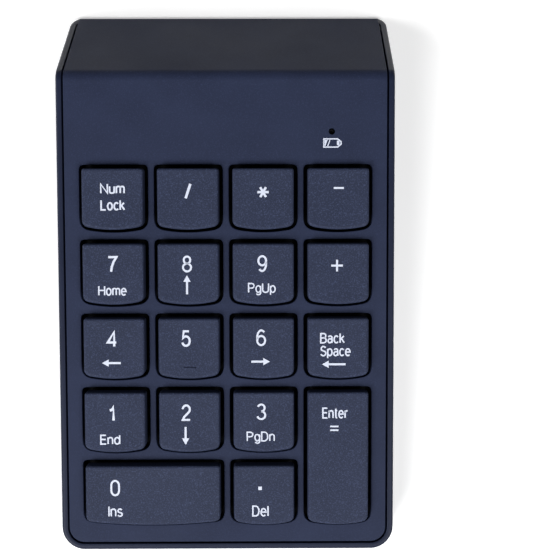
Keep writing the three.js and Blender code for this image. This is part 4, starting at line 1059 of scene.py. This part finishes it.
def battery_door():
    """The door round its own place: a plate with a sprung latch tongue, grip grooves and two hooks."""
    x, y = grown(BAY["x"], BAY["y"], -DOOR_GAP)
    front, rear = y
    middle = sum(x) / 2
    tools = []
    for side in (-1, 1):
        slot_x = about(middle + side * LATCH["slot"], LATCH["slot_half"])
        tools.append(prism(rounded(slot_x, (rear - LATCH["length"], rear + 2), 0.45), 0, 5))
    for back in LATCH["grooves"]:
        tools.append(prism(rounded(about(middle, 2.4), about(rear - back, 0.3), 0.28), 0, UNDERSIDE + 0.35))
    plate = eased(cut(prism(rounded(x, y, 0.6), UNDERSIDE, FLOOR_TOP), *tools), 0.12)
    extras = []
    hook_top = FLOOR_TOP + 1.3
    for place in HOOKS:
        extras.append(block(about(place, 2), (front, front + 1.6), (FLOOR_TOP - 0.5, hook_top)))
        extras.append(block(about(place, 2), (front - 1.5, front + 0.4), (FLOOR_TOP + 0.3, hook_top)))
    extras.append(block(about(middle, 3), (rear - 1, rear + 0.1), (FLOOR_TOP - 0.5, FLOOR_TOP + 1.6)))
    rib_x, rib_z = (x[0] + 3, x[1] - 3), (FLOOR_TOP - 0.4, FLOOR_TOP + 0.3)
    ribs = [block(rib_x, about(place, 0.4), rib_z) for place in (38, 44)]
    return together(plate, *(eased(extra, 0.15) for extra in extras), *ribs)


def case_screw():
    """A pan-head screw, head down, with a cross recess and a turned thread."""
    head, height, shank, length = SCREW["head"], SCREW["height"], SCREW["shank"], SCREW["length"]
    top = -height
    profile = [(0.3, top), (head - 0.7, top), (head - 0.3, top + 0.12), (head - 0.05, top + 0.45),
               (head, top + 0.7), (head, -0.1), (head - 0.1, 0), (shank * 0.8, 0.05)]
    turns = 9
    for i in range(turns):
        z = 0.3 + (length - 1.3) * i / turns
        profile += [(shank * 0.78, z), (shank, z + 0.22), (shank, z + 0.3)]
    profile += [(shank * 0.7, length - 0.9), (0.12, length)]
    arms = []
    reach, thin, taper = 1.15, 0.24, 0.6
    for a, b, end_a, end_b in ((reach, thin, reach * taper, thin), (thin, reach, thin, reach * taper)):
        wide = [(-a, -b), (a, -b), (a, b), (-a, b)]
        deep = [(-end_a, -end_b), (end_a, -end_b), (end_a, end_b), (-end_a, end_b)]
        arms.append(loft([level(wide, top - 0.5), level(wide, top), level(deep, top + 0.75)]))
    return cut(turned(profile, 28), *arms)


def foot():
    """A rubber pad, soft round its edge, with a shallow hollow in its sole."""
    height, radius = FOOT["height"], FOOT["radius"]
    # How far each ring is drawn back from the pad's outline, its corner radius and its height.
    section = [(0.15, 1.5, height), (0.0, radius, height - 0.15), (0.0, radius, 0.35),
               (0.1, radius - 0.1, 0.12), (0.35, radius - 0.35, 0.0), (1.1, 0.8, 0.0), (1.3, 0.7, 0.12)]
    rings = []
    for back, corner, z in section:
        half_width, half_depth = FOOT["width"] / 2 - back, FOOT["depth"] / 2 - back
        rings.append(level(rounded(about(0, half_width), about(0, half_depth), corner), z))
    return loft(rings)


def switch_slider():
    """The slider's ribbed knob, its flange inside the case and its fork."""
    knob = eased(block(about(0, 1.8), about(0, 1.4), (UNDERSIDE + 0.45, FLOOR_TOP + 0.3)), 0.15)
    ribs = [eased(block(about(x, 0.22), about(0, 1.25), (UNDERSIDE + 0.2, UNDERSIDE + 0.7)), 0.1)
            for x in (-1.35, -0.45, 0.45, 1.35)]
    flange = block(about(0, 3.6), about(0, 2.3), (FLOOR_TOP + 0.1, FLOOR_TOP + 0.7))
    fork = block(about(0, 0.5), about(0, 0.5), (FLOOR_TOP + 0.4, FLOOR_TOP + 1.7))
    return together(knob, *ribs, flange, fork)


def make_underside():
    piece("door", battery_door(), CASE_PLASTIC, "battery_door", replaces=["battery_door"])
    screw = case_screw()
    for name, (x, y) in SCREW_PLACES.items():
        piece("screw_" + name, screw, STEEL, "base", at(x, y, SCREW["seat"] - 0.1),
              replaces=["case_screw_" + name])
    pad = foot()
    for name, (x, y) in FOOT_PLACES.items():
        piece("pad_" + name, pad, FOOT_RUBBER, "base", at(x, y), replaces=["foot_" + name])
    top = UNDERSIDE + LABEL["recess"] - 0.05
    face = top - LABEL["thickness"]
    outline = rounded(LABEL["x"], LABEL["y"], 1.0)
    rings = [level(outline, top), level(outline, face + 0.03),
             level(rounded(*grown(LABEL["x"], LABEL["y"], -0.04), 0.96), face)]
    piece("label_plate", loft(rings), LABEL_FOIL, "base", replaces=["rating_label"])
    border = rounded(*grown(LABEL["x"], LABEL["y"], -1.2), 0.6)
    lines = ribbon([*border, border[0]], 0.25, INK_RISE)
    piece("label_border", lines, LABEL_INK, "base", at(0, 0, face - 0.02))
    piece("switch_knob", switch_slider(), PALE_PLASTIC, "power_switch", at(SWITCH["x"], SWITCH["y"]),
          replaces=["power_switch_slider"])


make_underside()

# ---- lamp, cells and springs


def make_light_pipe():
    """The clear rod from the lamp up to its hole in the deck, with a collar under the cover."""
    profile = [(0.3, -13), (0.9, -12.8), (0.9, -3), (1.6, -3), (1.6, -2.1), (0.68, -2.1), (0.68, -1.7),
               (0.5, -1.5), (0.2, -1.45)]
    piece("pipe", turned(profile, 24), PIPE, "base", DECK @ at(*LAMP), replaces=["light_pipe"])


def cell():
    """A cell's sleeve, shrunk over its ends."""
    radius, length = CELL["radius"], CELL["length"]
    return turned([(3.2, 0.25), (3.6, 0.0), (radius - 0.6, 0.0), (radius - 0.15, 0.2), (radius, 0.7),
                   (radius, length - 0.7), (radius - 0.15, length - 0.2), (radius - 0.6, length),
                   (3.4, length), (3.2, length - 0.25)], 48)


def cell_terminals():
    """A cell's steel can, of which its bottom, its top and its nub show."""
    nub, length = CELL["nub_radius"], CELL["length"]
    return turned([(2.9, 0.02), (3.1, 0.3), (3.1, length - 0.4), (nub + 0.1, length - 0.3), (nub, length),
                   (nub, length + CELL["nub"] - 0.25), (nub - 0.25, length + CELL["nub"])], 32)


def coil():
    """A battery spring: a tapering coil of round wire."""
    turns, wire = SPRING["turns"], SPRING["wire"]
    steps, sides = 26 * turns, 10
    rings = []
    for i in range(steps + 1):
        t = i / steps
        angle = 2 * math.pi * turns * t
        radius = SPRING["wide"] + (SPRING["narrow"] - SPRING["wide"]) * t
        outward = Vector((math.cos(angle), math.sin(angle), 0))
        centre = outward * radius + Vector((0, 0, (SPRING["length"] - 2 * wire) * t))
        rings.append([centre + outward * (wire * math.cos(b)) + Vector((0, 0, wire * math.sin(b)))
                      for b in (2 * math.pi * k / sides for k in range(sides))])
    return loft(rings)


def make_cells():
    sleeve, ends, spring = cell(), cell_terminals(), coil()
    for index, y in enumerate(CELL["y"]):
        right = index == 0
        direction = 1 if right else -1
        wall = BAY["x"][0] if right else BAY["x"][1]
        turn = Matrix.Rotation(direction * math.pi / 2, 4, "Y")
        foot_x = wall + direction * (CONTACT_DEPTH + SPRING["wire"])
        cell_x = wall + direction * (CONTACT_DEPTH + SPRING["length"] + 0.2)
        place = at(cell_x, y, CELL["z"]) @ turn
        number = str(index + 1)
        piece("sleeve_" + number, sleeve, CELL_WRAP, "base", place, replaces=["cell_" + number])
        piece("terminals_" + number, ends, STEEL, "base", place)
        piece("coil_" + number, spring, SPRING_STEEL, "base", at(foot_x, y, CELL["z"]) @ turn,
              replaces=["cell_spring_" + number])


make_light_pipe()
make_cells()

# ---- receiver


def plug_shell():
    """The plug's folded sheet, open at its end, with four windows. Its length runs along Y."""
    start, end = GRIP["length"] - PLUG["seated"], GRIP["length"] + PLUG["length"]
    half_width, half_height = PLUG["width"] / 2, PLUG["height"] / 2
    upright = Matrix.Rotation(math.pi / 2, 4, "X") @ Matrix.Scale(-1, 4, (0, 0, 1))
    sheet = PLUG["sheet"]
    outer = prism(rounded(about(0, half_width), about(0, half_height), 0.5), start, end)
    hollow = rounded(about(0, half_width - sheet), about(0, half_height - sheet), 0.3)
    inner = prism(hollow, start - 1, end + 1)
    windows = [block(about(x, 1.25), about(GRIP["length"] + 6, 1.1), (-5, 5)) for x in (-2.9, 2.9)]
    return eased(cut(moved(outer, upright), moved(inner, upright), *windows), 0.06, 1)


def grip():
    """The receiver's moulded cap: a rounded block with ribbed sides and a socket for the plug."""
    width, height, length = GRIP["width"] / 2, GRIP["height"] / 2, GRIP["length"]
    body = prism(rounded(about(0, width), (0, length), 1.2), -height, height)
    play = 0.15
    tools = [block(about(0, PLUG["width"] / 2 + play), (length - PLUG["seated"] - 0.3, length + 1),
                   about(0, PLUG["height"] / 2 + play))]
    for side in (-1, 1):
        for i in range(4):
            x = (width - 0.3, width + 1) if side > 0 else (-width - 1, -width + 0.3)
            tools.append(block(x, about(1.35 + i * 0.95, 0.25), about(0, height + 1)))
    return eased(cut(body, *tools), 0.14)


def make_receiver():
    place = Matrix.Translation(RECEIVER)
    piece("plug_shell", plug_shell(), STEEL, "receiver", place, replaces=["receiver_shell"])
    piece("receiver_grip", grip(), GRIP_PLASTIC, "receiver", place, replaces=["receiver_cap"])
    start, end = GRIP["length"] - PLUG["seated"], GRIP["length"] + PLUG["length"] - 0.8
    tongue = eased(block((-5.4, 5.4), (start, end), (-1.8, 0)), 0.15)
    piece("plug_tongue", tongue, PALE_PLASTIC, "receiver", place, replaces=["receiver_tongue"])
    strips = [block(about(x, 0.5), (end - back, end - 0.5), (-0.02, 0.06))
              for x, back in ((-3.5, 7.4), (-1.0, 6.4), (1.0, 6.4), (3.5, 7.4))]
    piece("plug_contacts", together(*strips), GOLD, "receiver", place)


make_receiver()

# ---- finishes of the CAD pieces that stay

FINISHES = {
    "key_frame": INNER_PLASTIC,
    "membrane": FILM,
    "backing_plate": STEEL,
    "levelling_wire_0": SPRING_STEEL,
    "levelling_wire_enter": SPRING_STEEL,
    "controller_board": BOARD,
    "radio_chip": CHIP_RESIN,
    "crystal": STEEL,
    "membrane_connector": PALE_PLASTIC,
    "status_lamp": LAMP_RESIN,
    "power_switch_body": STEEL,
    "bridge_contact": SPRING_STEEL,
    "positive_contact": SPRING_STEEL,
    "negative_contact": SPRING_STEEL,
    "board_screw_front": STEEL,
    "board_screw_rear": STEEL,
}
for node, finish in FINISHES.items():
    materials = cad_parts[node].data.materials
    materials.clear()
    materials.append(finish)

# ---- floor and light


def make_floor():
    """White paper, a little brighter than the light on it makes it."""
    nodes = Nodes("floor_paper")
    nodes.base(nodes.spread(nodes.noise(30.0), 0, 1), (0.86, 0.86, 0.86), (0.88, 0.88, 0.88))
    nodes.fix("Roughness", 0.9)
    nodes.fix("Specular IOR Level", 0.2)
    nodes.fix("Emission Color", (1, 1, 1, 1))
    nodes.fix("Emission Strength", 0.36)
    reach = 1.1
    corners = [(-reach, -reach, 0), (reach, -reach, 0), (reach, reach, 0), (-reach, reach, 0)]
    mesh = mesh_of(corners, [(0, 1, 2, 3)])
    mesh.materials.append(nodes.material)
    holder(mesh, "floor")


def make_light(name, place, size, power):
    """A square softbox that faces the keypad."""
    data = bpy.data.lights.new(name, "AREA")
    data.size = size
    data.energy = power
    made = holder(data, name)
    made.location = place
    made.rotation_euler = (-Vector(place)).to_track_quat("-Z", "Y").to_euler()


def make_world(light, backdrop):
    """A dim surround for light, seen directly as a pale backdrop beyond the floor."""
    world = bpy.data.worlds.new("studio")
    world.use_nodes = True
    tree = world.node_tree
    background = tree.nodes["Background"]
    background.inputs["Color"].default_value = (1, 1, 1, 1)
    path = tree.nodes.new("ShaderNodeLightPath")
    strength = tree.nodes.new("ShaderNodeMapRange")
    strength.inputs["To Min"].default_value = light
    strength.inputs["To Max"].default_value = backdrop
    tree.links.new(path.outputs["Is Camera Ray"], strength.inputs["Value"])
    tree.links.new(strength.outputs["Result"], background.inputs["Strength"])
    bpy.context.scene.world = world


make_floor()
make_light("key_light", (-0.62, -0.85, 1.0), 0.6, 19.0)
make_light("fill_light", (0.6, -0.8, 1.05), 0.6, 14.0)
make_light("side_light", (-1.2, 0.1, 0.5), 0.4, 4.5)
make_world(0.07, 1.0)
bpy.context.scene.view_settings.view_transform = "Standard"
